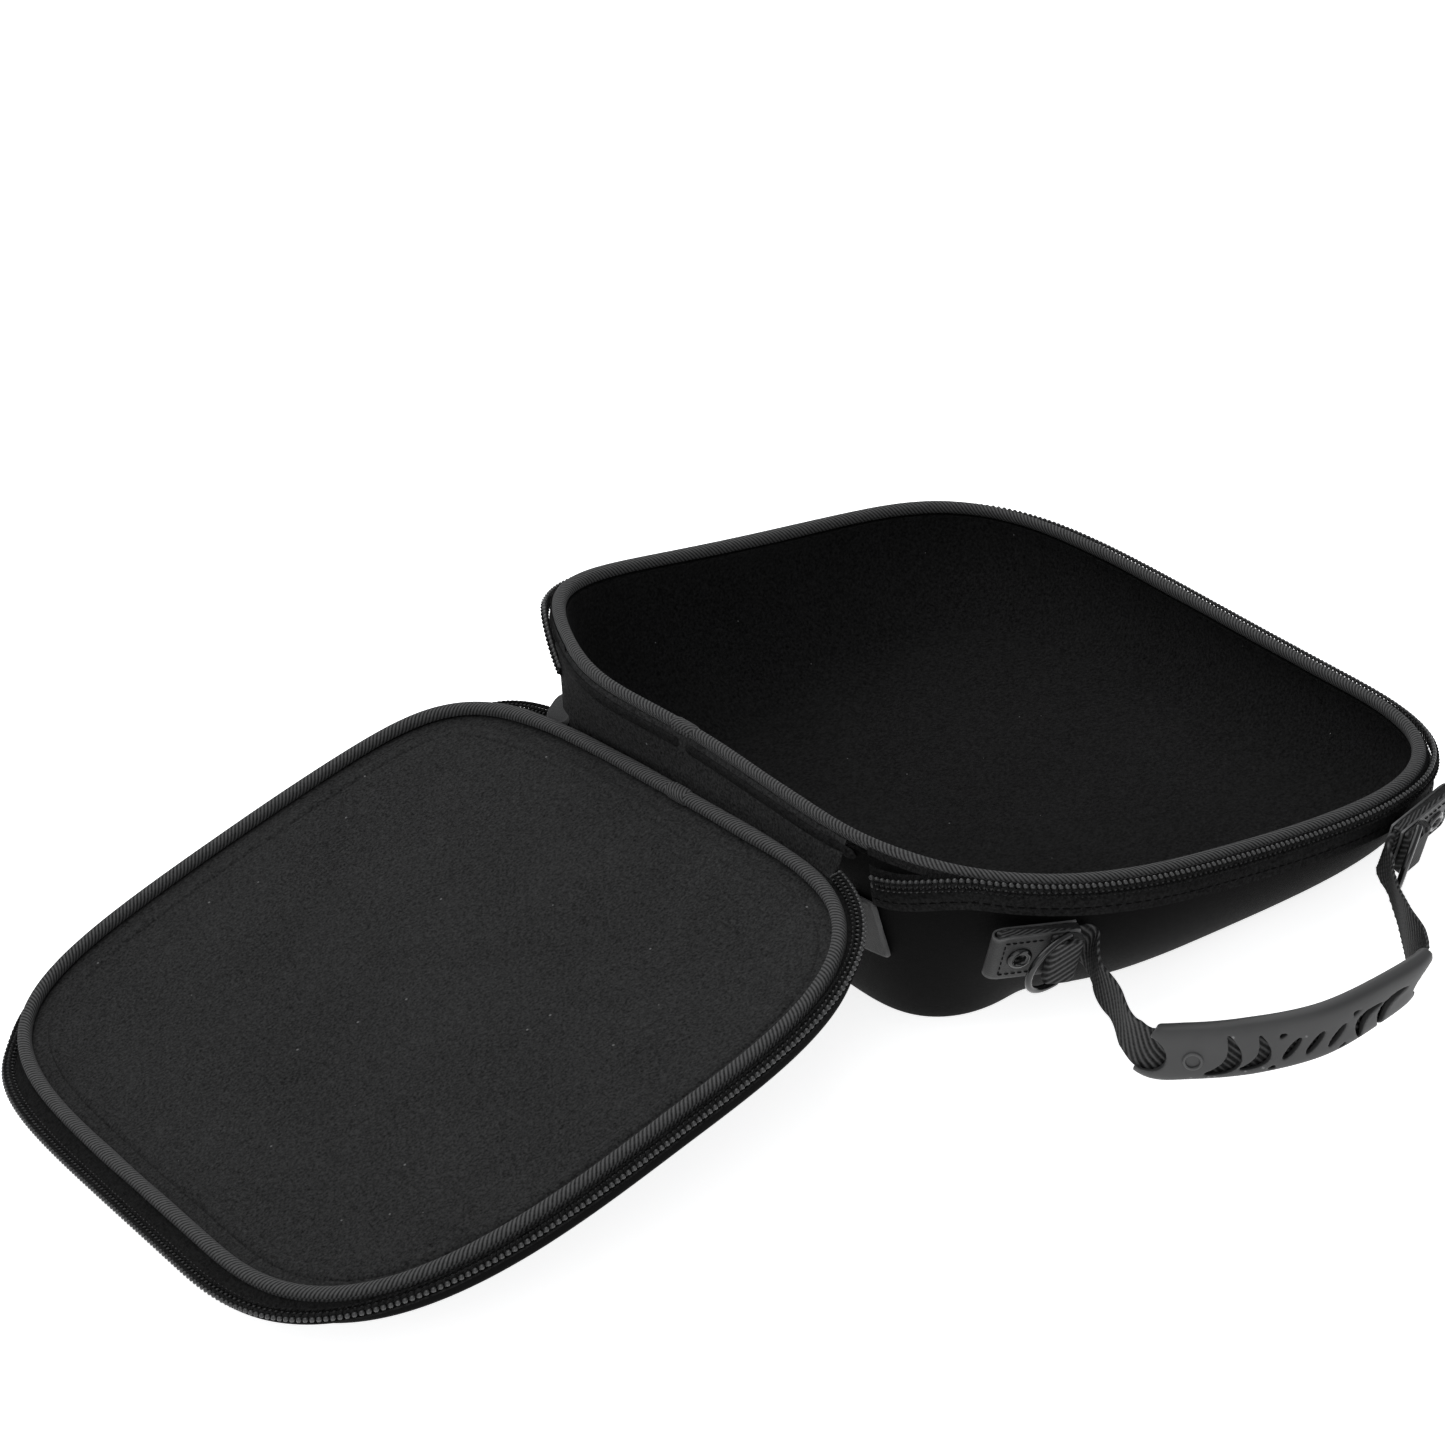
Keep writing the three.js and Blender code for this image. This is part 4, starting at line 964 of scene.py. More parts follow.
def tube_template(stations, sides=TUBE_SIDES):
    """Rings of points round a bent line, as an array of stations by sides by three."""
    line = np.array([row[:3] for row in stations], float)
    radii = np.array([row[3] for row in stations])
    runs = np.gradient(line, axis=0)
    runs /= np.linalg.norm(runs, axis=1)[:, None]
    first = np.cross(runs, (1.0, 0.0, 0.0))
    first /= np.linalg.norm(first, axis=1)[:, None]
    second = np.cross(runs, first)
    a = np.arange(sides) / sides * 2 * math.pi
    ring = first[:, None] * np.cos(a)[:, None] + second[:, None] * np.sin(a)[:, None]
    return line[:, None] + ring * radii[:, None, None]


def bent_copies(template, starts, send):
    """The template's points at each start, bent by send(distance along, second, third)."""
    flat = template.reshape(-1, 3)
    return [send(start + flat[:, 0], flat[:, 1], flat[:, 2]) for start in starts]


def copies_mesh(name, template, copies, sharp=60):
    """One mesh from copies of a tube template, each given as its bent points."""
    stations, sides = template.shape[:2]
    size = stations * sides
    faces = [(r * sides + c, r * sides + (c + 1) % sides, (r + 1) * sides + (c + 1) % sides,
              (r + 1) * sides + c) for r in range(stations - 1) for c in range(sides)]
    ends = [tuple(range(sides))[::-1], tuple((stations - 1) * sides + c for c in range(sides))]
    every = [tuple(i + k * size for i in face) for k in range(len(copies)) for face in faces + ends]
    mesh = bpy.data.meshes.new(name)
    mesh.from_pydata([tuple(p) for p in np.concatenate(copies) * MM], [], every)
    mesh.uv_layers.new(name="run")
    return tidy_normals(mesh, sharp)


def coil(name, line, send, node):
    """Heads and legs are two pieces, because the legs lie dull under their thread and carry a darker tone
    as painted shade, while the heads' lighter tone is a painted highlight.
    """
    starts = np.arange(2, line["length"] - 3, TOOTH_PITCH)
    heads, legs = tube_template(HEAD_STATIONS, 9), tube_template(LEG_STATIONS)
    for title, template, finish in ((name, heads, COIL_HEADS_PAINTED_HIGHLIGHT), (name + "_legs", legs, COIL_LEGS_PAINTED_SHADE)):
        copies = bent_copies(template, starts, lambda s, h, d: send(along_line(line, s), h, d))
        add_object(title, copies_mesh(title, template, copies), finish, "zipper_coil", node)


def base_coil_point(at, h, d):
    return fallen_point(at, BASE_COIL_OUT + d, h - COIL_DROP)


def lid_coil_point(at, h, d):
    return hanging_point(at, LID_COIL_OUT + h, d - COIL_DROP)


coil("base_coil", BASE_ZIP, base_coil_point, "base_zipper_coil")
coil("lid_coil", LID_ZIP, lid_coil_point, "lid_zipper_coil")
print("one tooth every", TOOTH_PITCH, "mm")

# %% Sew the coils down
THREAD_AT = (0.35, -1.7)  # two sewing threads hold the legs down, this far towards the heads
LOOP_STATIONS = (
    (0.0, 0.0, 0.8, 0.3), (0.45, 0.1, 1.3, 0.45), (1.2, 0.3, 1.5, 0.55), (1.95, 0.5, 1.3, 0.45),
    (2.4, 0.6, 0.8, 0.3),
)


def hold_down(name, line, send):
    """Sewing thread over the coil's legs: one short loop between each two teeth, in two rows."""
    loop = tube_template(LOOP_STATIONS, 6)
    starts = np.arange(3, line["length"] - 5, TOOTH_PITCH)
    copies = []
    for aside in THREAD_AT:
        copies += bent_copies(loop, starts, lambda s, h, d: send(along_line(line, s), h + aside, d))
    return add_object(name, copies_mesh(name, loop, copies), TAPE, "zipper_tape")


hold_down("base_coil_thread", BASE_ZIP, base_coil_point)
hold_down("lid_coil_thread", LID_ZIP, lid_coil_point)

# %% [markdown]
# ## Stitches
#
# Stitches are short threads with a gap, and they show because each one is a small rounded bar
# that catches light. They use the same template idea as the teeth: one bar, sent along a line.

# %% Sew the rows
STITCH_LENGTH, STITCH_GAP, THREAD_RADIUS = 2.6, 1.0, 0.42
STITCH_PROFILE = (  # share of the length, lift, share of the thread's radius
    (0.0, -0.25, 0.6), (0.12, 0.0, 0.9), (0.5, 0.12, 1.0), (0.88, 0.0, 0.9), (1.0, -0.25, 0.6),
)
STITCH_SIDES = 5


def stitch_template(length=STITCH_LENGTH, radius=THREAD_RADIUS):
    angles = np.arange(STITCH_SIDES) / STITCH_SIDES * 2 * math.pi
    circle = np.stack([0 * angles, np.cos(angles), np.sin(angles)], -1)
    return np.array([np.array([share * length, 0.0, lift]) + circle * (radius * thick)
                     for share, lift, thick in STITCH_PROFILE])


def stitch_row(name, starts, send):
    template = stitch_template()
    mesh = copies_mesh(name, template, bent_copies(template, starts, send))
    return add_object(name, mesh, THREAD, "binding_cloth")


def every_stitch(length, margin=1.0):
    return np.arange(margin, length - STITCH_LENGTH - margin, STITCH_LENGTH + STITCH_GAP)


BAND_STITCH_OUT = LIP_IN - STITCH_IN
band_top = band_height(BAND_STITCH_OUT)
stitch_row("lid_band_stitches", every_stitch(LID_RIM["length"]),
           lambda s, b, n: lid_point(along_line(LID_RIM, s), BAND_STITCH_OUT + b, band_top + 0.12 + n))
stitch_row("base_tape_stitches", every_stitch(BASE_ZIP["length"]),
           lambda s, b, n: fallen_point(along_line(BASE_ZIP, s), 4.62 + n, b - 8.6))

# %% [markdown]
# ## The hinge
#
# The lid hangs on a strip of cloth sewn under the base's binding and down the lid's edge. It is a
# sheet: thin, with a welt where the seam lies and shallow creases where it was folded. A grid
# between the two edges makes it, with the middle let down a little, as loose cloth lies.

# %% Sew the hinge strip
STRIP_FROM, STRIP_TO = HINGE_FRONT * CASE_LENGTH, HINGE_BACK * CASE_LENGTH
STRIP_THICK, STRIP_LAP = 1.3, 4
SEAM_SHARE, STRIP_SAG = 0.12, 1.6
STRIP_WELT, STRIP_WELT_AT, STRIP_WELT_WIDE = 0.7, 0.3, 0.05
CREASE_DEPTH, CREASE_SIZE = 0.35, 9


def hinge_side(rim, v):
    """The rim's values at places v along its hinge side."""
    side = pick(rim, rim["u"] < WIDEST_ACROSS * CASE_WIDTH / 2)
    side = pick(side, np.argsort(side["v"]))
    made = {key: np.interp(v, side["v"], side[key]) for key in ("u", "nu", "nv", "bulge")}
    return {**made, "v": np.asarray(v, float)}


def hinge_rows(v, lid_v, shares):
    """Points of the strip from its seam, 0, to the lid's edge, 1, one row for each share."""
    at_base, at_lid = hinge_side(BASE_RIM, v), hinge_side(LID_RIM, lid_v - LID_SHIFT)
    seam = base_point(at_base, 2.6, -1.2)
    under = base_point(at_base, TAPE_IN, LIP_TOP - 0.6)
    edge = lid_point(at_lid, TAPE_IN + 1.0, LIP_TOP - 0.2)
    rows = []
    for share in shares:
        t = max(0.0, (share - SEAM_SHARE) / (1 - SEAM_SHARE))
        if share < SEAM_SHARE:
            point = seam + (under - seam) * share / SEAM_SHARE
        else:
            point = under + (edge - under) * t
        loose = math.sin(math.pi * t)
        welt = STRIP_WELT * bell(share - STRIP_WELT_AT, STRIP_WELT_WIDE)
        crease = CREASE_DEPTH * soft_noise(point * np.array([1.0, 0.35, 1.0]), CREASE_SIZE, 21) * loose
        rows.append(point + np.stack([0 * crease, 0 * crease, welt - STRIP_SAG * loose + crease], -1))
    return rows


GUSSET, GUSSET_PULL = 10, 0.35  # the cloth runs on round the base's corner, drawn in at the lid
places = np.linspace(STRIP_FROM + LID_SHIFT - 1, STRIP_TO + GUSSET, 130)
lid_places = np.minimum(places, STRIP_TO - 1 + (places - STRIP_TO + 1) * GUSSET_PULL)
top = hinge_rows(places, lid_places, np.linspace(0, 1, 26))
lid_side = hinge_side(LID_RIM, lid_places - LID_SHIFT)
line = top + [lid_point(lid_side, TAPE_IN + 1.0, LIP_TOP - STRIP_LAP)]
thick = np.array([-STRIP_THICK * 0.55, 0, -STRIP_THICK * 0.85])
rows = line + [row + thick for row in line[::-1]]
HINGE_STRIP = add_grid("hinge_cloth", rows, LINING, "shell_cloth", "hinge_strip")


WELT_OUT, WELT_UP, WELT_ROLL, WELT_END = 3.9, -5.4, (2.2, 4.4, 14, 0.8), 2.5


def hinge_welt(name, start, stop):
    """A second fold of tape along the seam, rounded off at its two ends."""
    v = np.linspace(start, stop, 60)
    side = hinge_side(BASE_RIM, v)
    size = np.sqrt(np.clip(np.minimum(v - start, stop - v) / WELT_END, 0.02, 1))
    rows = [base_point(side, WELT_OUT + out * size, WELT_UP + up * size) for out, up in oval(*WELT_ROLL)]
    add_grid(name, rows, TAPE, "zipper_tape")


hinge_welt("hinge_welt_back", BASE_LAP_AT - 1, STRIP_TO + 14)
hinge_welt("hinge_welt_front", STRIP_FROM + 4, BASE_LAP_AT - 3)

# %% [markdown]
# ## Leatherette tabs
#
# Each end of the zipper is covered by a small tab of leatherette: a long one on the wall in
# front, and a short round-topped one behind. A tab is a slab with a soft edge, so its section
# across is thick in the middle and thins to the border.


# %% Cut the tabs
SLAB_EDGE = ((0.0, 1.0), (0.5, 1.0), (1.0, 0.93))  # shares of the thickness and of the outline
SLAB_SIDES = 72


def slab_grid(place, wide, tall, thick, corner=0.25):
    """Rings of a thin slab, out and back, from place(a, b, n): across, up and through, in mm."""
    angles = np.linspace(0, 2 * math.pi, SLAB_SIDES, endpoint=False)
    c, s = np.cos(angles), np.sin(angles)
    a, b = np.sign(c) * np.abs(c) ** corner, np.sign(s) * np.abs(s) ** corner
    rings = [(share, 0.0) for share in np.linspace(0.05, 0.9, 5)]
    rings += [(share, n * thick) for n, share in SLAB_EDGE]
    rings += [(share, thick) for share in np.linspace(0.85, 0.05, 6)]
    return [place(a * share * wide, b * share * tall, n + 0 * a) for share, n in rings]


def add_tab(name, rows, node):
    add_grid(name, rows, LEATHER, "leatherette", node, ring=True, tube=False)


FRONT_TAB = {"wide": 7, "tall": 12.5, "thick": 1.8}  # wide and tall from its middle
FRONT_TAB_AT, FRONT_TAB_DROP = STRIP_FROM + 6, 32.5  # its middle, along the rim and below it


def front_tab(a, b, n):
    rim = hinge_side(BASE_RIM, FRONT_TAB_AT + a)
    top = base_point(rim, TAPE_IN, LIP_TOP)[..., 2]
    turned = np.arcsin(np.clip((FRONT_TAB_DROP - b) / top, 0, 1)) * 2 / math.pi
    points = [wall_point(pick(rim, i), TAPE_IN + CLEARANCE + n[i], 0, turned[i]) for i in range(len(a))]
    return np.array(points)


add_tab("front_tab", slab_grid(front_tab, **FRONT_TAB), "hinge_tab_front")

BACK_TAB = {"wide": 6.4, "tall": 7.0, "thick": 2.0, "corner": 0.55}
BACK_TAB_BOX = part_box("hinge_tab_back")
BACK_TAB_MIDDLE = np.array((BACK_TAB_BOX[0] + BACK_TAB_BOX[1]) / 2 / MM) + np.array([-0.5, 1.5, 4.0])
TAB_LEAN = turn("Y", -28) @ turn("Z", 12)


def back_tab(a, b, n):
    return np.stack([b * 0.96, a, 0.9 * n - 0.02 * b**2], -1) @ TAB_LEAN.T + BACK_TAB_MIDDLE


add_tab("back_tab", slab_grid(back_tab, **BACK_TAB), "hinge_tab_back")

# %% [markdown]
# ## Anchors
#
# A leatherette patch folded round the end of the webbing is sewn to the front wall on each side,
# with a snap through it and a webbing loop that holds a ring. Each anchor is built in its own
# small frame: x along the wall, y up it and z away from it. The frame follows the wall's slope,
# and then swings, leans and droops as the pull of the handle has left it.

# %% Find the two anchor frames
ANCHOR_LENGTH, ANCHOR_HEIGHT, ANCHOR_THICK = 31, 20, 5
ANCHORS = (
    {"side": "left", "hand": 1, "across": 0.135, "below": 20.5, "droop": -18, "lean": 0, "swing": 14,
     "off": 3.5, "ring_to": -1},
    {"side": "right", "hand": -1, "across": 0.805, "below": 5, "droop": 6, "lean": 13, "swing": -6,
     "off": 6, "ring_to": 1},
)
FRAME_RIM = outline(BASE_SQUARENESS, BULGE_OUT, 64)


def unit(vector):
    return vector / np.linalg.norm(vector)


def anchor_frame(row):
    front = pick(FRAME_RIM, FRAME_RIM["nv"] < -0.2)
    front = pick(front, np.argsort(front["u"]))
    u = row["across"] * CASE_WIDTH
    rim = {key: np.interp(u, front["u"], front[key]) for key in ("v", "nu", "nv")}
    rim = {**rim, "u": u, "bulge": 0.0}
    tall = base_point(rim, LIP_OUT, LIP_TOP)[2]

    def at(drop):
        return wall_point(rim, LIP_OUT, 0, math.asin(drop / tall) * 2 / math.pi)

    up = unit(at(row["below"] - ANCHOR_HEIGHT / 2) - at(row["below"] + ANCHOR_HEIGHT / 2))
    along = unit(np.array([-rim["nv"], rim["nu"], 0]))
    out = unit(np.cross(along, up))
    up = unit(np.cross(out, along))
    turned = np.stack([along, up, out], 1) @ turn("Y", row["swing"]) @ turn("X", row["lean"])
    return turned @ turn("Z", row["droop"]), at(row["below"]) + out * row["off"]


def anchor_place(row):
    axes_of, origin = anchor_frame(row)
    return lambda points: np.asarray(points, float) @ axes_of.T + origin


for row in ANCHORS:
    row["place"] = anchor_place(row)
    print(row["side"], "anchor at", np.round(row["place"]([[0, 0, 0]])[0], 1))

# %% [markdown]
# The patch is a U in section: a front leaf, a rounded fold and a back leaf, with the webbing's
# end between them. The section is walked once round, outside and back inside, and carried from
# the patch's lower edge to its upper one, so the leatherette keeps its real thickness at the fold.

# %% Fold the leatherette
LEAF, LEAF_PAD = 0.75, 0.35  # thickness of one leaf of leatherette, and how it swells
LEAF_ROWS, FOLD_TAPER, FOLD_REACH = 15, 0.09, 5  # the patch is a little lower at its fold


def folded_leaf(hand):
    """Section of the leatherette in x and z, as a closed line, from the front leaf's free edge."""
    x_end, radius = ANCHOR_LENGTH / 2, ANCHOR_THICK / 2
    x_fold = -x_end + radius
    arc = np.linspace(math.pi / 2, 3 * math.pi / 2, 14)
    outer = [(x, ANCHOR_THICK) for x in np.linspace(x_end, x_fold, 14)]
    outer += [(x_fold + radius * math.cos(a), radius + radius * math.sin(a)) for a in arc[1:-1]]
    outer += [(x, 0) for x in np.linspace(x_fold, x_end, 14)]
    thin = radius - LEAF
    inner = [(x, LEAF) for x in np.linspace(x_end, x_fold, 14)]
    inner += [(x_fold + thin * math.cos(a), radius + thin * math.sin(a)) for a in arc[::-1][1:-1]]
    inner += [(x, ANCHOR_THICK - LEAF) for x in np.linspace(x_fold, x_end, 14)]
    return [(hand * x, z) for x, z in outer + inner]


def patch_rows(row):
    section = folded_leaf(row["hand"])
    heights = np.linspace(-1, 1, LEAF_ROWS)
    rows = []
    for x, z in section:
        near_fold = smoothstep(-row["hand"] * x, ANCHOR_LENGTH / 2 - FOLD_REACH, ANCHOR_LENGTH / 2)
        half = (ANCHOR_HEIGHT / 2) * (1 - FOLD_TAPER * near_fold)
        pad = LEAF_PAD * (1 - heights**4) * (z > ANCHOR_THICK / 2)
        y = heights * half
        rows.append(row["place"](np.stack([x + 0 * y, y, z + pad], -1)))
    return rows


print("a patch's section has", len(folded_leaf(1)), "points")


# %% Shape bars, turned pieces and wires
def box_rows(row, x0, x1, half, z0, z1, soft=0.5, steps=12):
    """A soft-edged bar along y, from a rounded section in x and z."""
    section = oval(x1 - x0, z1 - z0, 20, soft, ((x0 + x1) / 2, (z0 + z1) / 2))
    y = np.linspace(-half, half, steps)
    return [row["place"](np.stack([x + 0 * y, y, z + 0 * y], -1)) for x, z in section]


def lathe_mesh(name, profile, place, turns=32):
    angles = np.arange(turns) / turns * 2 * math.pi
    rows = [place(np.stack([r * np.cos(angles), r * np.sin(angles), z + 0 * angles], -1))
            for r, z in profile]
    return grid_mesh(name, rows, ring=True, tube=False, sharp=55)


def wire_mesh(name, line, radius, flat, sides=12):
    """A closed wire through points, its section turned with the line in one plane."""
    line = np.asarray(line, float)
    runs = np.roll(line, -1, axis=0) - np.roll(line, 1, axis=0)
    runs /= np.linalg.norm(runs, axis=1)[:, None]
    side = np.cross(runs, flat)
    side /= np.linalg.norm(side, axis=1)[:, None]
    angles = np.arange(sides) / sides * 2 * math.pi
    rows = [line + radius * (side * math.cos(a) + flat * math.sin(a)) for a in angles]
    return grid_mesh(name, rows, ring=True)


print("box_rows, lathe_mesh and wire_mesh are ready")

# %% [markdown]
# A D-ring is one wire: a bow, closed by a straight bar that runs through a short webbing loop. The
# loop is sewn flat on the patch, so the bar's height comes from the loop's thickness, and the bow
# leans away from the patch. The stitches run in a rectangle near the front leaf's edge.

# %% Bend the rings
RING_WIRE, RING_REACH, RING_LIFT, LOOP_LENGTH, LOOP_THICK = 1.3, 16, 24, 11, 5
FACE = ANCHOR_THICK + CLEARANCE
BAR_UP = FACE + LOOP_THICK / 2


def ring_line(row):
    lift = math.radians(RING_LIFT)
    to_bow = np.array([row["ring_to"] * row["hand"] * math.cos(lift), 0, math.sin(lift)])
    bar = np.array([row["hand"] * (ANCHOR_LENGTH - LOOP_LENGTH) / 2, 0, BAR_UP])
    half = ANCHOR_HEIGHT / 2 + CLEARANCE + RING_WIRE
    angles = np.sin(np.linspace(-1, 1, 61) * math.pi / 2) * math.pi / 2
    bow = [bar + np.array([0, half * math.sin(a), 0]) + to_bow * RING_REACH * abs(math.cos(a)) ** 0.8
           for a in angles]
    straight = [bar + np.array([0, y, 0]) for y in np.linspace(half, -half, 14)[1:-1]]
    flat = np.cross((0.0, 1.0, 0.0), to_bow)
    return bow + straight, unit(flat)


print("a ring's bar lies", BAR_UP, "mm above the patch's back")

# %% Mark the patches' stitches
PATCH_STITCH = (1.7, 0.24)  # length and radius
PATCH_STITCH_STEP, PATCH_STITCH_IN = 2.4, 2.6


def patch_stitches(row, template):
    """The stitches of the rectangle on the front leaf, each as its points."""
    hand = row["hand"]
    left, right = -ANCHOR_LENGTH / 2 + 4.2, ANCHOR_LENGTH / 2 - LOOP_LENGTH - 0.8
    half = ANCHOR_HEIGHT / 2 - PATCH_STITCH_IN
    marks = [((hand * x, side * half), (hand, 0)) for side in (-1, 1)
             for x in np.arange(left, right - 1.6, PATCH_STITCH_STEP)]
    marks += [((hand * left, y), (0, 1)) for y in np.arange(-half, half - 1.6, PATCH_STITCH_STEP)]
    ahead, aside, lift = template.reshape(-1, 3).T
    return [np.stack([x + ahead * dx - aside * dy, y + ahead * dy + aside * dx, FACE + 0.1 + lift], -1)
            for (x, y), (dx, dy) in marks]


print("a patch's stitches are", PATCH_STITCH_STEP, "mm apart")

# %% Make both anchors
SNAP_AT = 0.16  # the snap's middle from the patch's, as a share of its length
SNAP_PROFILE = (  # radius, and height above the patch
    (0.05, 0.05), (1.9, 0.05), (2.1, 0.7), (2.5, 1.25), (3.1, 1.4), (3.8, 1.25), (4.4, 0.7), (4.5, 0.1),
    (4.5, -0.1), (0.05, -0.1),
)


def make_anchor(row):
    side, hand, place = row["side"], row["hand"], row["place"]
    add_grid(f"patch_{side}", patch_rows(row), LEATHER, "leatherette", f"anchor_{side}", sharp=60)
    x0, x1 = sorted(hand * x for x in (-ANCHOR_LENGTH / 2 + 1.6, ANCHOR_LENGTH / 2 + 0.4))
    z0, z1 = LEAF + 0.08, ANCHOR_THICK - LEAF - 0.08
    filler = box_rows(row, x0, x1, ANCHOR_HEIGHT / 2 - 0.15, z0, z1, 0.35)
    add_grid(f"patch_webbing_{side}", filler, WEBBING, "webbing")

    snap_at = np.array([-hand * ANCHOR_LENGTH * SNAP_AT, 0, FACE])
    snap = lathe_mesh(f"snap_{side}", SNAP_PROFILE, lambda p: place(p + snap_at))
    add_object(f"snap_{side}", snap, METAL, "ring_metal", f"anchor_rivet_{side}")

    middle = hand * (ANCHOR_LENGTH - LOOP_LENGTH) / 2
    loop = box_rows(row, middle - LOOP_LENGTH / 2, middle + LOOP_LENGTH / 2, ANCHOR_HEIGHT / 2 - 0.4,
                    FACE, FACE + LOOP_THICK, 0.45, 16)
    add_grid(f"loop_{side}", loop, WEBBING, "webbing", f"ring_loop_{side}")

    points, flat = ring_line(row)
    ring = wire_mesh(f"d_ring_{side}", place(points), RING_WIRE, anchor_frame(row)[0] @ flat)
    add_object(f"d_ring_{side}", ring, METAL, "ring_metal", f"ring_{side}")

    template = stitch_template(*PATCH_STITCH)
    stitches = [place(points) for points in patch_stitches(row, template)]
    mesh = copies_mesh(f"patch_stitches_{side}", template, stitches)
    add_object(f"patch_stitches_{side}", mesh, THREAD, "leatherette")


for row in ANCHORS:
    make_anchor(row)

# %% [markdown]
# ## The handle's line
#
# The webbing leaves the left patch, hangs down, turns forward onto the floor, passes through the
# moulded grip and comes back up to the right patch. Its middle line is a centripetal
# Catmull-Rom curve through a few chosen stops, each with the lean of the webbing's face. The same
# formula shaped the frame's solids, so the finished strap lies where they lie.

# %% Choose the stops
STRAP_WIDTH, STRAP_THICK = 19, 1.6
GRIP_LENGTH, GRIP_HEIGHT, GRIP_THICK, GRIP_FROM, HANDLE_REACH = 105, 21.5, 8, 46, 61
HANDLE_ROUTE = (  # across, out, up, lean
    (-0.302, 0.08, 1.58, 0), (-0.305, 0.215, 1.31, 0), (-0.309, 0.35, 0.96, 0), (-0.299, 0.46, 0.74, 0),
    (-0.256, 0.6, 0.66, 0), (-0.188, 0.8, 0.65, 0), (-0.096, 0.97, 0.66, 8), (0.01, 1, 0.68, 18),
    (0.089, 0.95, 0.66, 26), (0.13, 0.79, 0.6, 20), (0.159, 0.59, 0.61, 8), (0.187, 0.4, 0.68, 0),
    (0.21, 0.24, 0.86, 0),
)


def anchor_exit(row):
    """Where the webbing leaves its patch, a point just past it, and its width's direction."""
    hand, middle = row["hand"], ANCHOR_THICK / 2
    exits = row["place"]([[hand * (ANCHOR_LENGTH / 2 + CLEARANCE), 0, middle],
                          [hand * (ANCHOR_LENGTH / 2 + 5), 0, middle + 0.5]])
    return exits[0], exits[1], anchor_frame(row)[0][:, 1]


left_exit, left_lead, left_up = anchor_exit(ANCHORS[0])
right_exit, right_lead, right_up = anchor_exit(ANCHORS[1])
route = [np.array([a * CASE_WIDTH, -CASE_LENGTH / 2 - o * HANDLE_REACH, up * GRIP_HEIGHT])
         for a, o, up, _ in HANDLE_ROUTE]
STOPS = np.array([left_exit, left_lead, *route, right_lead, right_exit])
LEANS = [None, None, *[row[3] for row in HANDLE_ROUTE], None, None]
print("the handle has", len(STOPS), "stops")


# %% Run a curve through the stops
def curve_point(t):
    """three.js's centripetal Catmull-Rom curve through the stops, t from 0 to 1."""
    last = len(STOPS) - 1
    place = min(max(t, 0.0), 1.0) * last
    i = min(int(place), last - 1)
    weight = place - i
    p1, p2 = STOPS[i], STOPS[i + 1]
    p0 = STOPS[i - 1] if i > 0 else 2 * p1 - p2
    p3 = STOPS[i + 2] if i + 2 <= last else 2 * p2 - p1
    d0, d1, d2 = (float(((b - a) ** 2).sum()) ** 0.25 for a, b in ((p0, p1), (p1, p2), (p2, p3)))
    t1 = ((p1 - p0) / d0 - (p2 - p0) / (d0 + d1) + (p2 - p1) / d1) * d1
    t2 = ((p2 - p1) / d1 - (p3 - p1) / (d1 + d2) + (p3 - p2) / d2) * d1
    c2, c3 = -3 * p1 + 3 * p2 - 2 * t1 - t2, 2 * p1 - 2 * p2 + t1 + t2
    return p1 + t1 * weight + c2 * weight**2 + c3 * weight**3


CURVE_T = np.linspace(0, 1, 401)
curve_points = np.array([curve_point(t) for t in CURVE_T])
CURVE_S = np.concatenate([[0], np.cumsum(np.linalg.norm(np.diff(curve_points, axis=0), axis=1))])
HANDLE_LENGTH = float(CURVE_S[-1])
print("handle", round(HANDLE_LENGTH, 1), "mm from patch to patch")


# %% Turn the strap along the curve
def stop_up(i):
    if LEANS[i] is None:
        return left_up if i < 2 else right_up
    run = STOPS[i + 1] - STOPS[i - 1]
    outward = np.cross(run, (0, 0, 1))
    outward = unit(outward * np.array([1, 1, 0]))
    lean = math.radians(LEANS[i])
    return outward * math.sin(lean) + np.array([0, 0, math.cos(lean)])


STOP_UPS = [stop_up(i) for i in range(len(STOPS))]


def handle_axes(s):
    """Place, along, up and out of the handle at a distance s along it."""
    t = float(np.interp(min(max(s, 0), HANDLE_LENGTH), CURVE_S, CURVE_T))
    along = unit(curve_point(min(t + 1e-4, 1)) - curve_point(max(t - 1e-4, 0)))
    place = t * (len(STOPS) - 1)
    i = min(int(place), len(STOPS) - 2)
    up = STOP_UPS[i] + (STOP_UPS[i + 1] - STOP_UPS[i]) * (place - i)
    up = unit(up - along * float(up @ along))
    beyond = s - min(max(s, 0), HANDLE_LENGTH)
    return curve_point(t) + along * beyond, up, np.cross(along, up)


def handle_table(stations):
    rows = [handle_axes(s) for s in stations]
    return tuple(np.array([row[k] for row in rows]) for k in range(3))


SPARE, TABLE_STEP = 8, 0.5  # past the strap's ends, and between the places kept in the table
HANDLE_S = np.arange(-SPARE, HANDLE_LENGTH + SPARE, TABLE_STEP)
HANDLE_TABLE = handle_table(HANDLE_S)


def on_handle(s, w, n):
    """Points at s along, w across the width and n out from the face, as arrays."""
    s, w, n = np.broadcast_arrays(*(np.asarray(value, float) for value in (s, w, n)))
    place, up, out = ([np.interp(s, HANDLE_S, column) for column in table.T] for table in HANDLE_TABLE)
    return np.stack([p + u * w + o * n for p, u, o in zip(place, up, out)], -1)


print("on_handle bends the strap at", len(HANDLE_S), "places")

# %% [markdown]
# ## Webbing
#
# The strap is a bold twill: thick yarns that step diagonally over each other. At this size the
# steps are large enough to show in outline, so they are real relief on a dense grid, and the
# finer yarn lies in the material's ribs.

# %% Weave the strap
TWILL_DEPTH, BEAD_PITCH = 0.3, 1.25
STRAP_COLUMNS, STRAP_ROWS = 440, 42
EDGE_ROUND, EDGE_HALF = 0.1, 0.45  # the strap's side edge: how far it rounds, and half its height


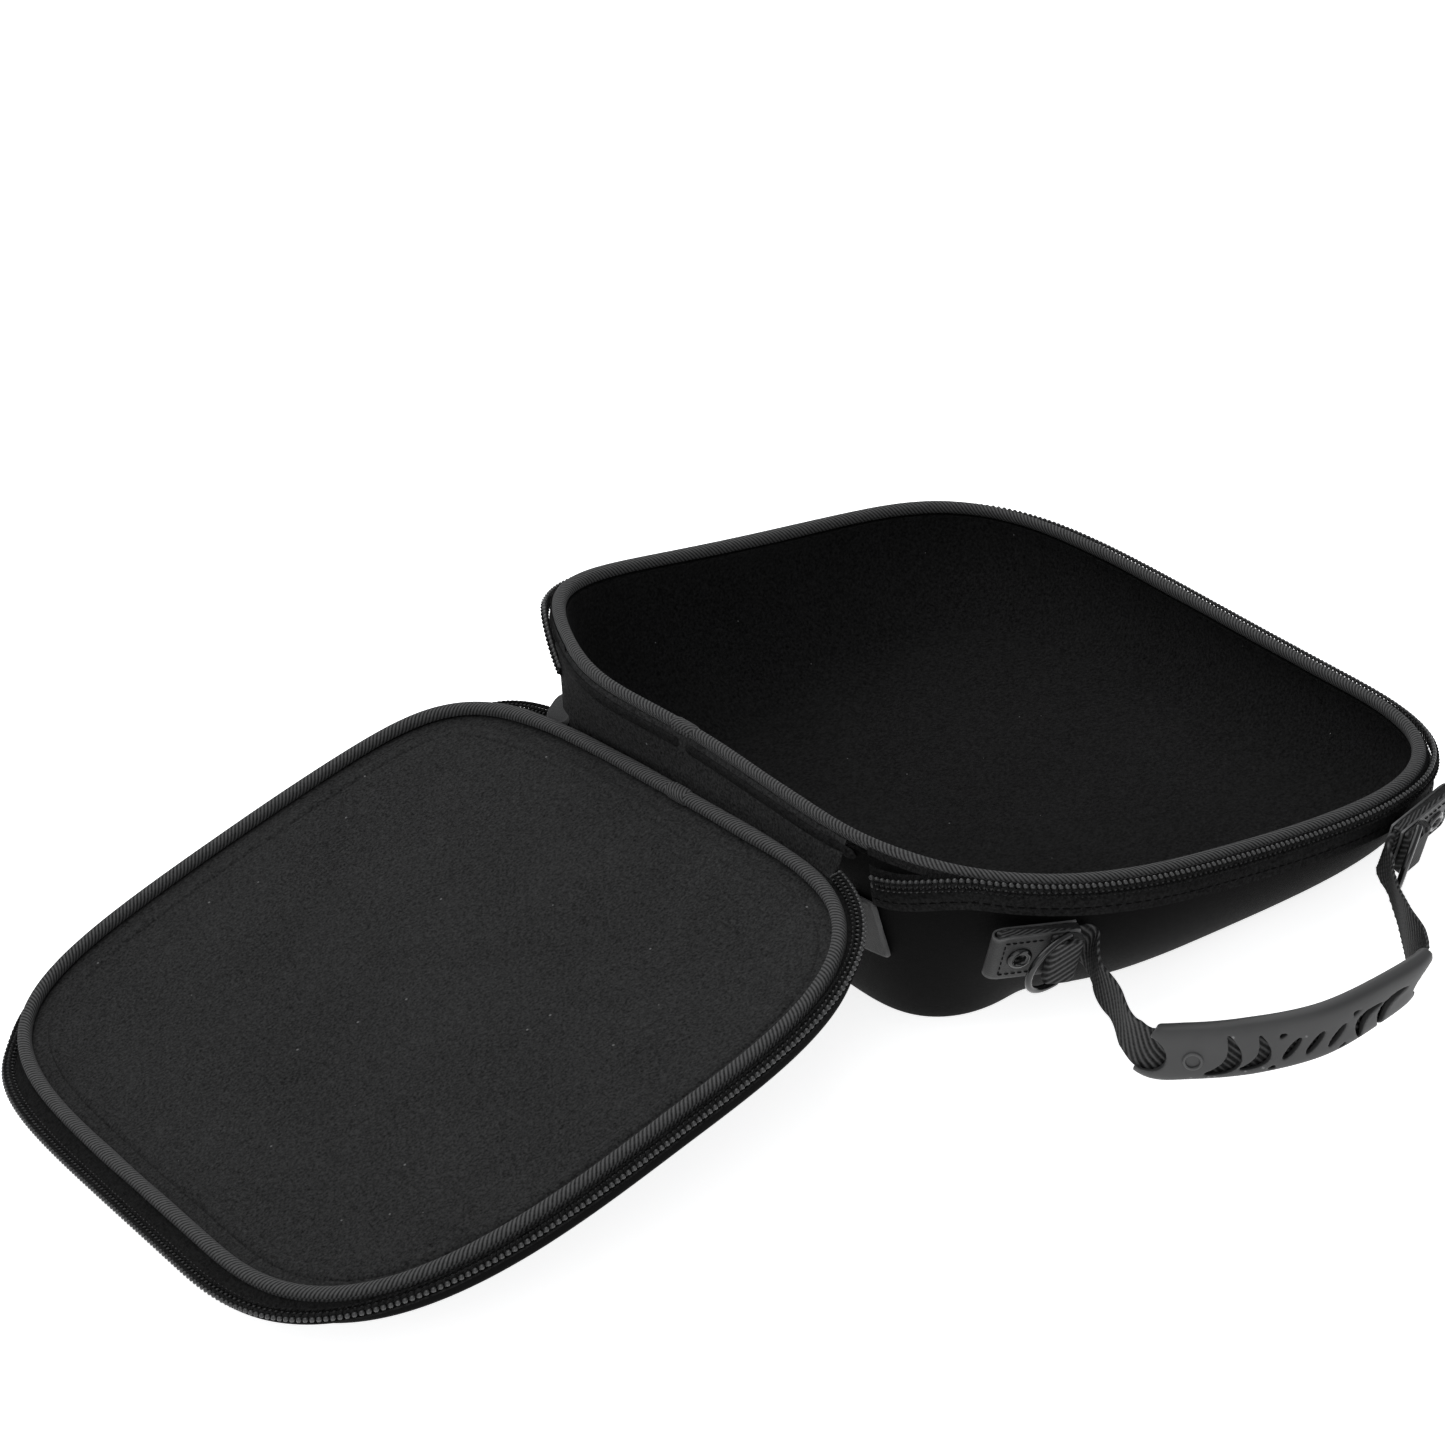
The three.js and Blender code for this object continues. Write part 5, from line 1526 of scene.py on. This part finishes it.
def twill(s, w):
    steps = np.sin(2 * math.pi * (s * math.cos(TWILL_SLANT) + w * math.sin(TWILL_SLANT)) / TWILL_PITCH)
    beads = np.sin(2 * math.pi * w / BEAD_PITCH)
    return TWILL_DEPTH * (0.7 * steps + 0.3 * steps * beads)


def strap_rows():
    stations = np.linspace(0, HANDLE_LENGTH, STRAP_COLUMNS)
    half, thick = STRAP_WIDTH / 2, STRAP_THICK / 2
    across = np.linspace(-half + 0.5, half - 0.5, STRAP_ROWS)
    edge = [(half - EDGE_ROUND, EDGE_HALF), (half, 0), (half - EDGE_ROUND, -EDGE_HALF)]
    rows = [on_handle(stations, w, thick - TWILL_DEPTH + twill(stations, w)) for w in across]
    rows += [on_handle(stations, w, n) for w, n in edge]
    rows += [on_handle(stations, w, -thick + TWILL_DEPTH - twill(stations, -w)) for w in across[::-1]]
    rows += [on_handle(stations, -w, -n) for w, n in edge]
    return rows


add_grid("handle_webbing", strap_rows(), WEBBING, "webbing", "handle_strap", sharp=80)

# %% [markdown]
# ## Grip
#
# The grip is moulded rubber round the webbing, with slanted openings through its outer face. It
# is made as it would be cut: a swept body, less a slot for the webbing, less one prism for each
# opening. A voxel remesh then rounds every edge by a fraction of a millimetre, as a mould does, and
# a raised ring is laid on near the left end. Hand-placed edge loops would take far more
# work on a bent body with this many openings.

# %% Shape the body and the cutters
GRIP_WINDOWS = (  # kind, at, up, long, wide, slant
    ("oval", 0, 0, 0.48, 0.13, 50), ("oval", -0.36, 0, 0.48, 0.13, 50),
    ("crescent", -0.92, 0, 0.72, 0.22, 58), ("crescent", -1.4, 0, 0.84, 0.25, 58),
    ("notch", -0.44, 0.27, 0.17, 0.1, 0), ("notch", -0.72, -0.29, 0.17, 0.1, 180),
)
MOUTH_DEEP, MOUTH_HIGH = 0.34, 0.7
WINDOWS_ALONG, WINDOWS_UP = 3.8, -1.6  # the openings' middle, from the grip's
BOSS_AT, BOSS_UP, BOSS_RADIUS, BOSS_WIRE, BOSS_LIFT = 36.5, -1.4, 3.0, 0.62, 0.8
GRIP_TAPER, GRIP_END_THICK, GRIP_END_HIGH = 0.09, 0.86, 0.96  # rounded ends, and their size
GRIP_SQUARE_EDGE, GRIP_SQUARE_FACE = 0.55, 0.7  # powers of the section, 1 is a plain ellipse
GRIP_SIDES, GRIP_STATIONS = 48, 90
SLOT_ROOM = 0.6  # round the webbing
VOXEL = 0.42


def grip_section(t):
    taper = min(t, 1 - t) / GRIP_TAPER
    full = GRIP_END_THICK + (1 - GRIP_END_THICK) * math.sin(min(taper, 1) * math.pi / 2)
    high = GRIP_END_HIGH + (1 - GRIP_END_HIGH) * full
    made = []
    for i in range(GRIP_SIDES):
        a = (i + 0.5) / GRIP_SIDES * 2 * math.pi
        c, s = math.cos(a), math.sin(a)
        w = GRIP_HEIGHT / 2 * math.copysign(abs(c) ** GRIP_SQUARE_EDGE, c) * high
        made.append((w, GRIP_THICK / 2 * math.copysign(abs(s) ** GRIP_SQUARE_FACE, s) * full))
    return made


def swept(stations, section):
    columns = [np.array([on_handle(s, w, n) for w, n in section(k / (len(stations) - 1))])
               for k, s in enumerate(stations)]
    return np.array(columns).transpose(1, 0, 2)


def window_outline(kind, long, wide):
    l, w = long * GRIP_HEIGHT / 2, wide * GRIP_HEIGHT / 2
    if kind == "notch":
        return np.array([(-l, -w), (l, w), (-l, w)])
    a = np.arange(28) / 28 * 2 * math.pi
    bend = 0 if kind == "oval" else w - w * 2.2 * (1 - np.cos(a) ** 2)
    return np.stack([l * np.cos(a), w * np.sin(a) + bend], -1)


def window_prism(half, kind, at, up, long, wide, slant, ahead=WINDOWS_ALONG, above=WINDOWS_UP):
    shape = window_outline(kind, long, wide)
    turned = math.radians(slant)
    s = at * GRIP_HEIGHT + shape[:, 0] * math.cos(turned) - shape[:, 1] * math.sin(turned)
    w = up * GRIP_HEIGHT + shape[:, 0] * math.sin(turned) + shape[:, 1] * math.cos(turned)
    middle = GRIP_FROM + GRIP_LENGTH / 2 + ahead
    levels = [on_handle(middle + half * s, half * w + above, n) for n in (0.0, GRIP_THICK)]
    return np.array(levels).transpose(1, 0, 2)


print("the grip has", len(GRIP_WINDOWS), "openings in each half, one of them shared")

# %% Cut and fuse the grip
stations = np.linspace(GRIP_FROM, GRIP_FROM + GRIP_LENGTH, GRIP_STATIONS)
grip_mesh = grid_mesh("grip_body", swept(stations, grip_section))
wide, thick = STRAP_WIDTH / 2 + SLOT_ROOM, STRAP_THICK / 2 + SLOT_ROOM
slot = [(-wide, -thick), (wide, -thick), (wide, thick), (-wide, thick)]
slot_stations = np.linspace(GRIP_FROM - 3, GRIP_FROM + GRIP_LENGTH + 3, GRIP_STATIONS)
cutters = [grid_mesh("strap_slot", swept(slot_stations, lambda t: slot))]
for window in GRIP_WINDOWS:
    for half in (1, -1) if window[1] else (1,):
        cutters.append(grid_mesh("opening", window_prism(half, *window)))
end = -GRIP_LENGTH / 2 / GRIP_HEIGHT
for half in (1, -1):
    mouth = window_prism(half, "oval", end, 0, 2 * MOUTH_DEEP, MOUTH_HIGH, 0, 0, 0)
    cutters.append(grid_mesh("mouth", mouth))

grip = bpy.data.objects.new("grip_moulding", grip_mesh)
bpy.context.scene.collection.objects.link(grip)
holders = []
for mesh in cutters:
    holder = bpy.data.objects.new(mesh.name, mesh)
    bpy.context.scene.collection.objects.link(holder)
    cut = grip.modifiers.new("cut", "BOOLEAN")
    cut.operation, cut.solver, cut.object = "DIFFERENCE", "EXACT", holder
    holders.append(holder)


def applied(thing):
    """The object's mesh with its modifiers applied."""
    view = bpy.context.evaluated_depsgraph_get()
    return bpy.data.meshes.new_from_object(thing.evaluated_get(view))


def boss_ring():
    """A raised ring on the grip's outer face, as a small closed tube."""
    middle = GRIP_FROM + GRIP_LENGTH / 2 - BOSS_AT
    a = np.arange(40) / 40 * 2 * math.pi
    rows = []
    for b in np.arange(10) / 10 * 2 * math.pi:
        r = BOSS_RADIUS + BOSS_WIRE * math.cos(b)
        lift = GRIP_THICK / 2 + BOSS_LIFT * math.sin(b)
        rows.append(on_handle(middle + r * np.cos(a), BOSS_UP + r * np.sin(a), lift))
    return grid_mesh("boss_ring", rows, ring=True)


bpy.context.view_layer.update()
grip.data = applied(grip)
grip.modifiers.clear()
for holder in holders:
    bpy.data.objects.remove(holder)
fuse = grip.modifiers.new("fuse", "REMESH")
fuse.mode, fuse.voxel_size = "VOXEL", VOXEL * MM
calm = grip.modifiers.new("calm", "SMOOTH")
calm.factor, calm.iterations = 0.5, 4
bpy.context.view_layer.update()
fused = applied(grip)
fused.name = "grip_moulding"
bpy.data.objects.remove(grip)
fused.shade_smooth()
add_object("grip_moulding", fused, RUBBER, "grip_rubber", "handle_grip")
add_object("boss_ring", boss_ring(), RUBBER, "grip_rubber")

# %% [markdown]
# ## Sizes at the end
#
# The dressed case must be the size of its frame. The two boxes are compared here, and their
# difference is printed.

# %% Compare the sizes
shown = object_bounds()
growth = [round((abs(v - c)) / MM, 1) for vp, cp in zip(shown, CAD_BOX) for v, c in zip(vp, cp)]
print("visual box differs by", growth, "mm")
